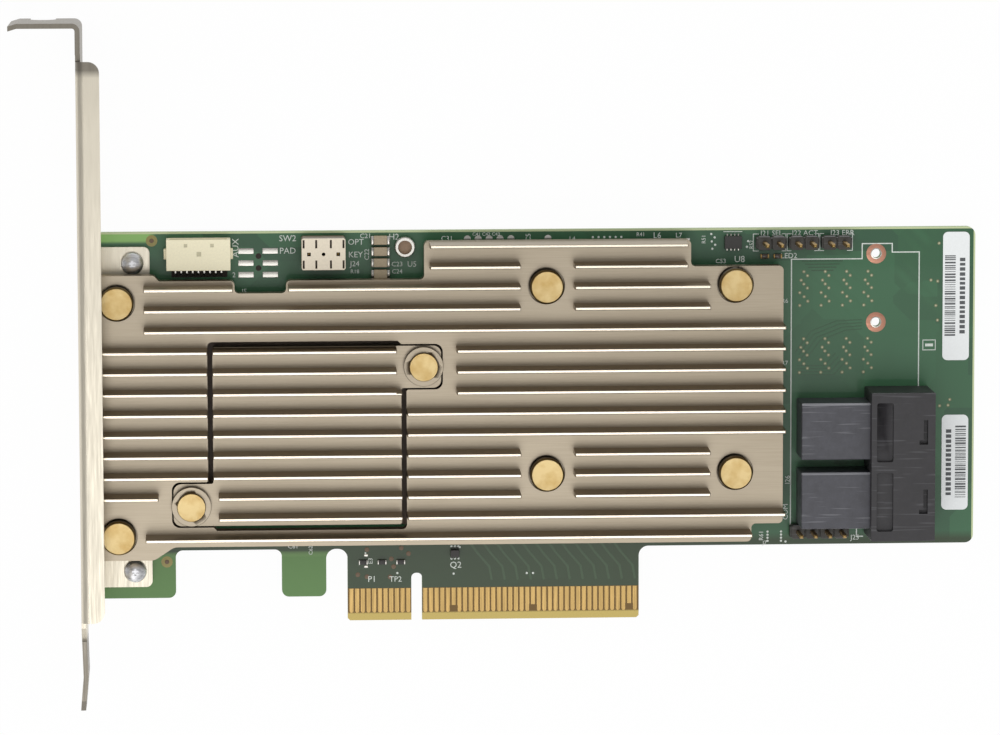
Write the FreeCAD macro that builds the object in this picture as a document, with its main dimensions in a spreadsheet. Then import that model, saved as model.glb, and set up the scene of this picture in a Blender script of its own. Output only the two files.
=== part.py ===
"""A RAID controller card, drawn as a parametric FreeCAD document, in millimetres.

The card lies flat with its component side up. X runs along the card, away from the bracket,
Y runs up from the edge fingers, and Z leaves the component side. The origin is the middle of
the key notch, at the lower edge of the fingers, on the component face of the board.
"""
import FreeCAD, Part
import math
import os
import re
import Sketcher

SIZES = {
    # circuit board
    "board_thick": 1.57,
    "board_length": 155.65,
    "board_height": 68.9,
    "board_round": 1.5,
    "key_setback": 57.15,
    "low_edge": 12.8,
    "edge_tab_drop": 8.4,
    "left_tab_width": 14.85,
    "left_notch_width": 18.6,
    "mid_tab_width": 7.8,
    "tab_round": 1.25,
    "tongue_gap": 3.75,
    "gap_round": 1.7,
    "finger_right": 39.2,
    "finger_chamfer": 0.4,
    "key_width": 1.9,
    "key_depth": 8.4,
    "key_round": 0.85,
    "bevel_rise": 1.3,
    "bevel_deep": 0.35,
    # contacts of the edge fingers
    "contact_pitch": 1.0,
    "contact_width": 0.7,
    "contact_height": 4.3,
    "contact_point": 0.3,
    "contact_thick": 0.05,
    "contact_margin": 0.1,
    "contact_from_key": 1.5,
    "short_side_count": 11,
    "long_side_count": 38,
    "short_contact_cut": 1.2,
    # bracket
    "sheet": 0.86,
    "bracket_clear": 0.59,
    "bracket_height": 120.02,
    "bracket_drop": 14.0,
    "bracket_width": 18.42,
    "bracket_behind": 2.53,
    "bend": 0.5,
    "tab_reach": 11.43,
    "tab_droop": 0.45,
    "tip_length": 1.5,
    "screw_notch_width": 4.42,
    "screw_notch_deep": 5.4,
    "screw_notch_round": 2.16,
    "screw_notch_inset": 5.6,
    "flange_reach": 4.1,
    "flange_low_margin": 16.3,
    "flange_top_margin": 6.6,
    "flange_round": 2.0,
    "relief": 1.2,
    "tongue_width": 10.19,
    "tongue_length": 12.5,
    "tongue_bulge": 0.2,
    "tongue_kick": 0.35,
    "tongue_chamfer": 2.0,
    "ear_reach": 11.35,
    "ear_width": 5.7,
    "ear_round": 1.1,
    "ear_bend": 0.4,
    "ear_relief": 0.5,
    "ear_screw_inset": 3.0,
    "upper_ear_drop": 5.33,
    "lower_ear_rise": 9.38,
    "vent_width": 4.0,
    "vent_pitch": 5.1,
    "vent_count": 8,
    "vent_first": 18.0,
    "vent_low": 3.4,
    "vent_row": 4.9,
    # bracket screws and nuts
    "screw_size": 2.5,
    "screw_clear": 0.1,
    "screw_head": 4.0,
    "screw_head_high": 1.6,
    "screw_dome": 0.7,
    "screw_point": 0.3,
    "screw_socket": 1.7,
    "nut_across": 5.0,
    "nut_high": 1.9,
    "screw_end": 0.4,
    # heatsinks
    "sink_standoff": 2.5,
    "sink_base": 3.0,
    "fin_height": 5.0,
    "fin_foot": 0.95,
    "fin_crest": 0.6,
    "fin_pitch": 3.641,
    "sink_top_drop": 1.48,
    "first_fin_inset": 0.5,
    "fin_count": 15,
    "sink_left_inset": 1.0,
    "sink_round": 0.8,
    "sink_port_gap": 3.0,
    "sink_low": 14.2,
    "sink_lobe_low": 11.9,
    "lobe_from_ear": 0.4,
    "lobe_slope": 3.5,
    "lobe_round": 2.0,
    "low_cut_width": 5.5,
    "low_cut_rise": 3.2,
    "top_cut_width": 16.2,
    "top_cut_drop": 4.65,
    "socket_cut_right": 1.3,
    "socket_cut_drop": 6.6,
    "ear_cut_drop": 5.6,
    "pads_cut_right": 22.7,
    "pads_cut_width": 8.95,
    "pads_cut_drop": 2.2,
    "pin_flat": 4.7,
    # small heatsink and the chip below it
    "chip_left": 19.17,
    "chip_rise": 33.58,
    "small_sink_width": 32.83,
    "small_sink_depth": 31.35,
    "small_ear_reach": 6.95,
    "small_ear_depth": 7.4,
    "small_ear_round": 1.4,
    "small_fin_end": 0.9,
    "window_gap": 0.9,
    "ear_gap": 0.3,
    "window_flat": 2.3,
    "chip_width": 25.0,
    "chip_high": 1.1,
    "ball_gap": 0.4,
    "lid_width": 22.0,
    "lid_high": 0.6,
    "lid_round": 1.0,
    # sprung push pins
    "pin_hole": 3.2,
    "pin_clear": 0.1,
    "pin_head": 6.0,
    "pin_face": 5.0,
    "pin_head_high": 1.3,
    "pin_rise": 2.5,
    "pin_recess": 6.5,
    "pin_recess_deep": 1.5,
    "barb_width": 3.9,
    "barb_high": 1.0,
    "pin_tip": 1.6,
    "pin_tip_high": 1.1,
    "pin_slot": 0.7,
    "centre_pin_right": 22.6,
    "right_pin_inset": 8.45,
    "left_pin_inset": 5.05,
    "row_pin_low": 26.6,
    "row_pin_top": 9.35,
    "left_pin_low": 16.15,
    "left_pin_top": 11.8,
    "small_pin_inset": 3.1,
    "small_pin_edge": 3.55,
    "spring_wire": 0.45,
    "spring_turns": 3,
    "spring_clear": 0.15,
    # memory and power pieces below the large heatsink
    "memory_length": 11.0,
    "memory_width": 7.5,
    "memory_high": 1.1,
    "memory_gap": 2.2,
    "memory_left": 4.6,
    "memory_low": 31.6,
    "memory_count": 4,
    "coil_width": 6.6,
    "coil_high": 1.9,
    "coil_left": 30.6,
    "coil_low": 16.4,
    "coil_pitch": 9.0,
    "coil_count": 3,
    "coil_pad_width": 5.6,
    # data connector
    "port_edge_gap": 8.23,
    "port_depth": 11.2,
    "port_width": 26.1,
    "port_high": 10.2,
    "port_base": 0.3,
    "port_low": 1.9,
    "port_pitch": 12.22,
    "port_round": 0.4,
    "mouth_width": 9.7,
    "mouth_high": 6.6,
    "mouth_deep": 9.4,
    "mouth_floor": 1.5,
    "carrier_width": 9.9,
    "carrier_depth": 12.0,
    "carrier_high": 8.4,
    "carrier_bevel": 0.35,
    "carrier_nose": 4.0,
    "nose_clear": 0.1,
    "nose_slot_high": 1.2,
    "nose_slot_width": 8.2,
    "nose_slot_pitch": 3.2,
    "latch_slot_width": 2.9,
    "latch_slot_length": 10.4,
    "latch_slot_deep": 0.8,
    "latch_slot_inset": 0.95,
    "hook_length": 4.3,
    "hook_width": 0.75,
    "hook_foot": 1.5,
    "hook_inset": 1.3,
    "hook_deep": 1.0,
    "blade_thick": 0.2,
    "blade_width": 0.35,
    "blade_length": 2.4,
    "blade_pitch": 0.75,
    "blade_count": 9,
    # backup power socket
    "socket_left": 43.45,
    "socket_width": 11.15,
    "socket_depth": 5.4,
    "socket_high": 4.2,
    "socket_edge": 1.0,
    "socket_wall": 0.6,
    "socket_mouth_deep": 4.1,
    "socket_lug": 0.45,
    "socket_lug_depth": 1.8,
    "socket_pin": 0.3,
    "socket_pin_pitch": 1.0,
    "socket_pin_count": 9,
    "socket_tail": 1.1,
    # pin headers
    "header_pitch": 2.54,
    "header_pin": 0.64,
    "header_body_high": 2.5,
    "header_pin_high": 8.2,
    "header_width": 2.4,
    "header_slit": 0.25,
    "key_header_left": 18.7,
    "key_header_drop": 3.52,
    "key_body_depth": 5.5,
    "key_body_high": 6.0,
    "key_slit_deep": 1.2,
    "key_slit_wide": 0.35,
    "key_slit_long": 1.7,
    "key_pin_high": 5.2,
    "jumper_inset": 37.45,
    "jumper_drop": 2.5,
    "jumper_pitch": 5.75,
    "jumper_count": 3,
    "console_inset": 31.33,
    "console_rise": 2.5,
    "console_pins": 4,
    # small parts
    "chip8_inset": 42.8,
    "chip8_drop": 2.45,
    "chip8_length": 3.0,
    "chip8_width": 2.2,
    "chip8_high": 0.9,
    "lead_pitch": 0.65,
    "lead_width": 0.25,
    "lead_reach": 0.4,
    "lead_thick": 0.15,
    "capacitor_left": 7.79,
    "capacitor_length": 3.3,
    "capacitor_width": 1.5,
    "capacitor_high": 1.4,
    "capacitor_cap": 0.5,
    "capacitor_drop": 1.6,
    "capacitor_pitch": 1.96,
    "capacitor_count": 4,
    "spacer_left": 1.87,
    "spacer_drop": 2.81,
    "spacer_size": 3.65,
    "spacer_bore": 2.6,
    "spacer_high": 1.8,
    "spacer_lip": 0.3,
    "small_length": 1.6,
    "small_width": 0.8,
    "small_high": 0.5,
    "small_pitch": 3.3,
    "small_left": 9.4,
    "small_rise": 10.4,
    "small_count": 3,
    "transistor_right": 6.72,
    "transistor_rise": 11.9,
    "transistor_pitch": 0.52,
    "transistor_length": 1.5,
    "transistor_width": 1.2,
    "transistor_high": 0.9,
    "led_inset": 37.2,
    "led_drop": 4.95,
    "led_length": 1.5,
    "led_width": 0.8,
    "led_pitch": 2.3,
    "led_count": 2,
    "label_thick": 0.1,
    "label_inset": 1.0,
    "label_width": 4.7,
    "label_round": 0.9,
    "upper_label_drop": 0.9,
    "upper_label_length": 22.7,
    "lower_label_rise": 5.9,
    "lower_label_length": 16.9,
    "ring_hole": 1.6,
    "ring_inset": 17.5,
    "ring_drop": 4.64,
    "ring_pitch": 12.1,
    "back_pitch": 2.4,
    "back_count": 6,
}

doc = FreeCAD.newDocument("raid_controller_card")
sheet = doc.addObject("Spreadsheet::Sheet", "Sizes")
for row, (alias, amount) in enumerate(SIZES.items(), start=1):
    sheet.set(f"A{row}", alias)
    sheet.set(f"B{row}", str(amount))
    sheet.setAlias(f"B{row}", alias)
doc.recompute()

PARTS = []

# Places that several pieces share, as rules over the sheet's sizes
LEFT = "(-key_setback)"
RIGHT = "(board_length - key_setback)"
TOP = "board_height"
BACK = "(-board_thick)"
BASE = "sink_standoff"
BASE_TOP = "(sink_standoff + sink_base)"
CREST = "(sink_standoff + sink_base + fin_height)"
BRACKET_IN = f"({LEFT} - bracket_clear)"
BRACKET_OUT = f"({BRACKET_IN} - sheet)"
BRACKET_LOW = "(-bracket_drop)"
BRACKET_TOP = "(bracket_height - bracket_drop)"
BRACKET_REAR = f"({BACK} - bracket_behind)"
BRACKET_FRONT = f"({BRACKET_REAR} + bracket_width)"
EAR_END = f"({BRACKET_IN} + ear_reach)"
EAR_ROWS = {"lower": "lower_ear_rise", "upper": f"({TOP} - upper_ear_drop)"}
EAR_SCREW = f"({EAR_END} - ear_screw_inset)"
PORT_FRONT = f"({RIGHT} - port_edge_gap)"
PORT_REAR = f"({PORT_FRONT} - port_depth)"
PORT_BOTTOM = "(low_edge + port_low)"
CARRIER_REAR = f"({PORT_REAR} - carrier_depth)"
SINK_LEFT = f"({LEFT} + sink_left_inset)"
SINK_RIGHT = f"({CARRIER_REAR} - sink_port_gap)"
SINK_TOP = f"({TOP} - sink_top_drop)"
FIRST_FIN = f"({SINK_TOP} - first_fin_inset)"
CHIP_X = "(-chip_left)"
CHIP_Y = "chip_rise"
SMALL_LEFT = f"({CHIP_X} - small_sink_width / 2)"
SMALL_RIGHT = f"({CHIP_X} + small_sink_width / 2)"
SMALL_LOW = f"({CHIP_Y} - small_sink_depth / 2)"
SMALL_TOP = f"({CHIP_Y} + small_sink_depth / 2)"
LEFT_PIN = f"({LEFT} + left_pin_inset)"
RIGHT_PIN = f"({SINK_RIGHT} - right_pin_inset)"
MAIN_PINS = [
    (LEFT_PIN, "left_pin_low"),
    (LEFT_PIN, f"({TOP} - left_pin_top)"),
    ("centre_pin_right", "row_pin_low"),
    ("centre_pin_right", f"({TOP} - row_pin_top)"),
    (RIGHT_PIN, "row_pin_low"),
    (RIGHT_PIN, f"({TOP} - row_pin_top)"),
]
SMALL_PINS = [
    (f"({SMALL_LEFT} - small_ear_reach + small_pin_inset)", f"({SMALL_LOW} + small_pin_edge)"),
    (f"({SMALL_RIGHT} + small_ear_reach - small_pin_inset)", f"({SMALL_TOP} - small_pin_edge)"),
]
PIN_TOP = f"({BASE_TOP} + pin_rise)"
HEAD_LOW = f"({PIN_TOP} - pin_head_high)"
RECESS_LOW = f"({BASE_TOP} - pin_recess_deep)"
PAST = 1.0  # how far a cutter runs past what it cuts
NEAR = 1e-4  # how close two lengths are when they count as one
SPRING_CORNERS = 10  # straight lengths in one turn of a spring


def bound(rule):
    """Write a rule as FreeCAD reads it, with each size taken from the sheet."""
    return re.sub(r"[a-z]\w*", lambda word: "Sizes." + word[0] if word[0] in SIZES else word[0], str(rule))


def number(rule):
    """Work a rule out from the sheet as it stands."""
    return float(sheet.evalExpression(bound(rule)))


def rectangle(x_low, x_high, y_low, y_high, radius=0):
    """Give the corners of an upright rectangle, each as X, Y and radius."""
    spots = ((x_low, y_low), (x_high, y_low), (x_high, y_high), (x_low, y_high))
    return [(x, y, radius) for x, y in spots]


def oblong(x_rule, y_rule, length, width, radius=0):
    """Give the corners of an upright rectangle centred on a point."""
    x_range, y_range = around(x_rule, y_rule, length, width)
    return rectangle(*x_range, *y_range, radius)


def draw_circle(sketch, x_rule, y_rule, size_rule):
    """Draw a circle whose centre and diameter follow the sheet."""
    middle = FreeCAD.Vector(number(x_rule), number(y_rule), 0)
    circle = sketch.addGeometry(Part.Circle(middle, FreeCAD.Vector(0, 0, 1), number(size_rule) / 2), False)
    for kind, rule in (("DistanceX", x_rule), ("DistanceY", y_rule)):
        place = sketch.addConstraint(Sketcher.Constraint(kind, -1, 1, circle, 3, number(rule)))
        sketch.setExpression(f"Constraints[{place}]", bound(rule))
    size = sketch.addConstraint(Sketcher.Constraint("Diameter", circle, number(size_rule)))
    sketch.setExpression(f"Constraints[{size}]", bound(size_rule))


def draw_corners(sketch, corners):
    """Draw a closed outline of straight lines whose corners follow the sheet, some of them rounded."""
    count = len(corners)
    spots = [FreeCAD.Vector(number(x), number(y), 0) for x, y, _ in corners]
    radii = [number(radius) for _, _, radius in corners]
    starts, ends, arcs = [], [], []
    for index, spot in enumerate(spots):
        before = (spots[index - 1] - spot).normalize()
        after = (spots[(index + 1) % count] - spot).normalize()
        if radii[index] == 0:
            ends.append(spot)
            starts.append(spot)
            arcs.append(None)
            continue
        half = before.getAngle(after) / 2
        run = radii[index] / math.tan(half)
        middle = spot + (before + after).normalize() * (radii[index] / math.sin(half))
        arrive, leave = spot + before * run, spot + after * run
        ends.append(arrive)
        starts.append(leave)
        left_turn = before.cross(after).z < 0
        first, last = (arrive, leave) if left_turn else (leave, arrive)
        angles = [math.atan2(end.y - middle.y, end.x - middle.x) for end in (first, last)]
        if angles[1] < angles[0]:
            angles[1] += 2 * math.pi
        circle = Part.Circle(middle, FreeCAD.Vector(0, 0, 1), radii[index])
        arcs.append((Part.ArcOfCircle(circle, *angles), left_turn))
    stops = ends[1:] + ends[:1]
    lines = [sketch.addGeometry(Part.LineSegment(*pair), False) for pair in zip(starts, stops)]
    for index, (x_rule, y_rule, radius) in enumerate(corners):
        inward, outward = lines[index - 1], lines[index]
        if arcs[index] is None:
            sketch.addConstraint(Sketcher.Constraint("Coincident", inward, 2, outward, 1))
            holder, point = outward, 1
        else:
            curve, left_turn = arcs[index]
            arc = sketch.addGeometry(curve, False)
            near, far = (1, 2) if left_turn else (2, 1)
            sketch.addConstraint(Sketcher.Constraint("Tangent", inward, 2, arc, near))
            sketch.addConstraint(Sketcher.Constraint("Tangent", arc, far, outward, 1))
            size = sketch.addConstraint(Sketcher.Constraint("Radius", arc, number(radius)))
            sketch.setExpression(f"Constraints[{size}]", bound(radius))
            holder, point = sketch.addGeometry(Part.Point(spots[index]), True), 1
            sketch.addConstraint(Sketcher.Constraint("PointOnObject", holder, 1, inward))
            sketch.addConstraint(Sketcher.Constraint("PointOnObject", holder, 1, outward))
        for kind, rule in (("DistanceX", x_rule), ("DistanceY", y_rule)):
            place = sketch.addConstraint(Sketcher.Constraint(kind, -1, 1, holder, point, number(rule)))
            sketch.setExpression(f"Constraints[{place}]", bound(rule))


class Piece:
    """A PartDesign body, with the few kinds of feature that this card's pieces are made of."""

    NORMALS = {"XY": 1, "XZ": -1, "YZ": 1}

    def __init__(self, name, kept=True):
        self.body = doc.addObject("PartDesign::Body", name)
        self.body.Label = name
        if kept:
            PARTS.append(self.body)

    def origin(self, role):
        """Find one of the body's own origin planes or axes."""
        return [item for item in self.body.Origin.OriginFeatures if item.Role == role][0]

    def sketch(self, plane, level, outlines):
        """Draw outlines in a plane parallel to an origin plane, at a level along the plane's own axis."""
        sketch = self.body.newObject("Sketcher::SketchObject", self.body.Name + "_sketch")
        sketch.AttachmentSupport = [(self.origin(plane + "_Plane"), "")]
        sketch.MapMode = "FlatFace"
        side = self.NORMALS[plane]
        lift = FreeCAD.Vector(0, 0, side * number(level))
        sketch.AttachmentOffset = FreeCAD.Placement(lift, FreeCAD.Rotation())
        sketch.setExpression("AttachmentOffset.Base.z", bound(f"{side} * ({level})"))
        for outline in outlines:
            if isinstance(outline, tuple):
                draw_circle(sketch, *outline)
            else:
                draw_corners(sketch, outline)
        sketch.solve()
        return sketch

    def feature(self, kind, sketch, low, high):
        """Pad or pocket a sketch from one level to the other."""
        feature = self.body.newObject("PartDesign::" + kind, self.body.Name + "_" + kind.lower())
        feature.Profile = sketch
        feature.Length = number(f"({high}) - ({low})")
        feature.setExpression("Length", bound(f"({high}) - ({low})"))
        sketch.Visibility = False
        self.body.Tip = feature
        return feature

    def add(self, plane, low, high, *outlines):
        """Pad outlines between two levels along the plane's axis."""
        level = high if plane == "XZ" else low
        return self.feature("Pad", self.sketch(plane, level, outlines), low, high)

    def cut(self, plane, low, high, *outlines):
        """Pocket outlines between two levels along the plane's axis."""
        level = low if plane == "XZ" else high
        return self.feature("Pocket", self.sketch(plane, level, outlines), low, high)

    def repeat(self, features, axis, pitch, count, backwards=False):
        """Repeat features along an origin axis."""
        pattern = self.body.newObject("PartDesign::LinearPattern", self.body.Name + "_row")
        pattern.Originals = features
        pattern.Direction = (self.origin(axis + "_Axis"), [""])
        pattern.Mode = "Spacing"
        pattern.Reversed = backwards
        pattern.Offset = number(pitch)
        pattern.setExpression("Offset", bound(pitch))
        pattern.Occurrences = round(number(count))
        pattern.setExpression("Occurrences", bound(count))
        self.body.Tip = pattern
        return pattern

    def turn(self, x_rule, y_rule, profile, kind="Revolution"):
        """Turn a profile, drawn as radius and height, about an upright line at X, Y."""
        drawn = [(f"({x_rule}) + ({radius})", height, round_off) for radius, height, round_off in profile]
        sketch = self.sketch("XZ", y_rule, [drawn])
        axis = sketch.addGeometry(Part.LineSegment(
            FreeCAD.Vector(number(x_rule), -1, 0), FreeCAD.Vector(number(x_rule), 1, 0)), True)
        sketch.addConstraint(Sketcher.Constraint("Vertical", axis))
        place = sketch.addConstraint(Sketcher.Constraint("DistanceX", -1, 1, axis, 1, number(x_rule)))
        sketch.setExpression(f"Constraints[{place}]", bound(x_rule))
        sketch.addConstraint(Sketcher.Constraint("DistanceY", -1, 1, axis, 1, -1))
        sketch.addConstraint(Sketcher.Constraint("DistanceY", axis, 1, axis, 2, 2))
        feature = self.body.newObject("PartDesign::" + kind, self.body.Name + "_turned")
        feature.Profile = sketch
        feature.ReferenceAxis = (sketch, ["Axis0"])
        feature.Angle = 360
        self.body.Tip = feature
        return feature

    def round_edges(self, radius, chosen):
        """Round the edges of the body that a test picks out."""
        doc.recompute()
        base = self.body.Tip
        names = [f"Edge{i}" for i, edge in enumerate(base.Shape.Edges, start=1) if chosen(edge)]
        feature = self.body.newObject("PartDesign::Fillet", self.body.Name + "_fillet")
        feature.Base = (base, names)
        feature.Radius = number(radius)
        feature.setExpression("Radius", bound(radius))
        self.body.Tip = feature


def stands_at(edge, x):
    """Tell whether an edge is straight and upright, and stands at that X."""
    if not isinstance(edge.Curve, Part.Line):
        return False
    upright = abs(edge.tangentAt(edge.FirstParameter).z) > 1 - NEAR
    return upright and abs(edge.CenterOfMass.x - x) < NEAR


def block(name, corners, shift=None):
    """Place one box whose sides follow the sheet: X, Y and Z, each as low and high."""
    box = doc.addObject("Part::Box", name)
    step = shift or ("0", "0")
    lows = [f"({corners[0][0]}) + ({step[0]})", f"({corners[1][0]}) + ({step[1]})", corners[2][0]]
    for field, axis, low, (start, stop) in zip(("Length", "Width", "Height"), "xyz", lows, corners):
        setattr(box, field, number(f"({stop}) - ({start})"))
        box.setExpression(field, bound(f"({stop}) - ({start})"))
        box.setExpression("Placement.Base." + axis, bound(low))
    return box


def group(name, members):
    """Keep separate solids of one kind together under one name."""
    joined = doc.addObject("Part::Compound", name)
    joined.Label = name
    joined.Links = members
    PARTS.append(joined)
    return joined


def around(x_rule, y_rule, length, width):
    """Give X and Y ranges of a block centred on a point."""
    return (
        (f"({x_rule}) - ({length}) / 2", f"({x_rule}) + ({length}) / 2"),
        (f"({y_rule}) - ({width}) / 2", f"({y_rule}) + ({width}) / 2"),
    )


def hexagon(x_rule, y_rule, across):
    """Give the corners of a hexagon with two corners along X, from its width across the flats."""
    reach = f"({across}) / sqrt(3)"
    turns = [f"{60 * corner} deg" for corner in range(6)]
    return [(f"{x_rule} + cos({turn}) * {reach}", f"{y_rule} + sin({turn}) * {reach}", 0) for turn in turns]


def clipped(x_range, y_range, clip):
    """Give the corners of an upright rectangle whose own corners are cut off."""
    (left, right), (low, high) = x_range, y_range
    return [
        (f"({left}) + {clip}", low, 0), (f"({right}) - {clip}", low, 0),
        (right, f"({low}) + {clip}", 0), (right, f"({high}) - {clip}", 0),
        (f"({right}) - {clip}", high, 0), (f"({left}) + {clip}", high, 0),
        (left, f"({high}) - {clip}", 0), (left, f"({low}) + {clip}", 0),
    ]


def centred(first, pitch, count):
    """Give the start of a row that is centred on a point."""
    return f"(({first}) - ({count} - 1) * {pitch} / 2)"


def make_board():
    """The board: tongue, key notch, tabs, edge notches, bevel and holes."""
    tab = "(low_edge - edge_tab_drop)"
    tab_end = f"({LEFT} + left_tab_width)"
    mid_start = f"({tab_end} + left_notch_width)"
    mid_end = f"({mid_start} + mid_tab_width)"
    tongue_start = f"({mid_end} + tongue_gap)"
    board = Piece("circuit_board")
    outline = [
        (LEFT, tab, "board_round"),
        (tab_end, tab, "tab_round"),
        (tab_end, "low_edge", "tab_round"),
        (mid_start, "low_edge", "tab_round"),
        (mid_start, tab, "tab_round"),
        (mid_end, tab, "tab_round"),
        (mid_end, "low_edge", "gap_round"),
        (tongue_start, "low_edge", "gap_round"),
        (tongue_start, "finger_chamfer", 0),
        (f"{tongue_start} + finger_chamfer", "0", 0),
        ("-key_width / 2", "0", 0),
        ("-key_width / 2", "key_depth", "key_round"),
        ("key_width / 2", "key_depth", "key_round"),
        ("key_width / 2", "0", 0),
        ("finger_right - finger_chamfer", "0", 0),
        ("finger_right", "finger_chamfer", 0),
        ("finger_right", "low_edge", "gap_round"),
        (RIGHT, "low_edge", "board_round"),
        (RIGHT, TOP, "board_round"),
        (LEFT, TOP, "board_round"),
    ]
    board.add("XY", BACK, "0", outline)
    for face, inward in (("0", "-bevel_deep"), (BACK, f"{BACK} + bevel_deep")):
        away = f"({face}) - ({inward}) + ({face})"
        wedge = [
            ("-bevel_rise", away, 0), ("0", inward, 0),
            ("bevel_rise", face, 0), ("bevel_rise", away, 0),
        ]
        board.cut("YZ", f"{tongue_start} - {PAST}", f"finger_right + {PAST}", wedge)
    holes = [(x, y, "pin_hole") for x, y in MAIN_PINS + SMALL_PINS]
    holes += [(EAR_SCREW, y, "screw_size + 2 * screw_clear") for y in EAR_ROWS.values()]
    for drop in ("ring_drop", "ring_drop + ring_pitch"):
        holes.append((f"{RIGHT} - ring_inset", f"{TOP} - ({drop})", "ring_hole"))
    board.cut("XY", f"{BACK} - {PAST}", str(PAST), *holes)


def make_contacts():
    """The gold contacts on both faces of the tongue, with the three short ones and the short first one."""
    contacts = Piece("edge_contacts")
    low = "(bevel_rise + contact_margin)"
    high = f"({low} + contact_height)"
    left_first = "(-contact_from_key - (short_side_count - 1) * contact_pitch)"
    faces = {"front": ("0", "contact_thick"), "back": (f"{BACK} - contact_thick", BACK)}
    for bottom, top in faces.values():
        for start, count in ((left_first, "short_side_count"), ("contact_from_key", "long_side_count")):
            shape = [
                (f"{start} - contact_width / 2", f"{low} + contact_point", 0),
                (f"{start} - contact_width / 4", low, 0),
                (f"{start} + contact_width / 4", low, 0),
                (f"{start} + contact_width / 2", f"{low} + contact_point", 0),
                (f"{start} + contact_width / 2", high, 0),
                (f"{start} - contact_width / 2", high, 0),
            ]
            contacts.repeat([contacts.add("XY", bottom, top, shape)], "X", "contact_pitch", count)
    short = [f"(contact_from_key + {step} * contact_pitch)" for step in (5, 19, 36)]
    cuts = {"front": short, "back": [left_first]}
    for side, (bottom, top) in faces.items():
        for x in cuts[side]:
            sides = (f"{x} - contact_width", f"{x} + contact_width")
            area = rectangle(*sides, "0", f"{low} + short_contact_cut")
            if side == "front":
                contacts.cut("XY", bottom, f"{top} + {PAST}", area)
            else:
                contacts.cut("XY", f"{bottom} - {PAST}", top, area)


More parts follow.
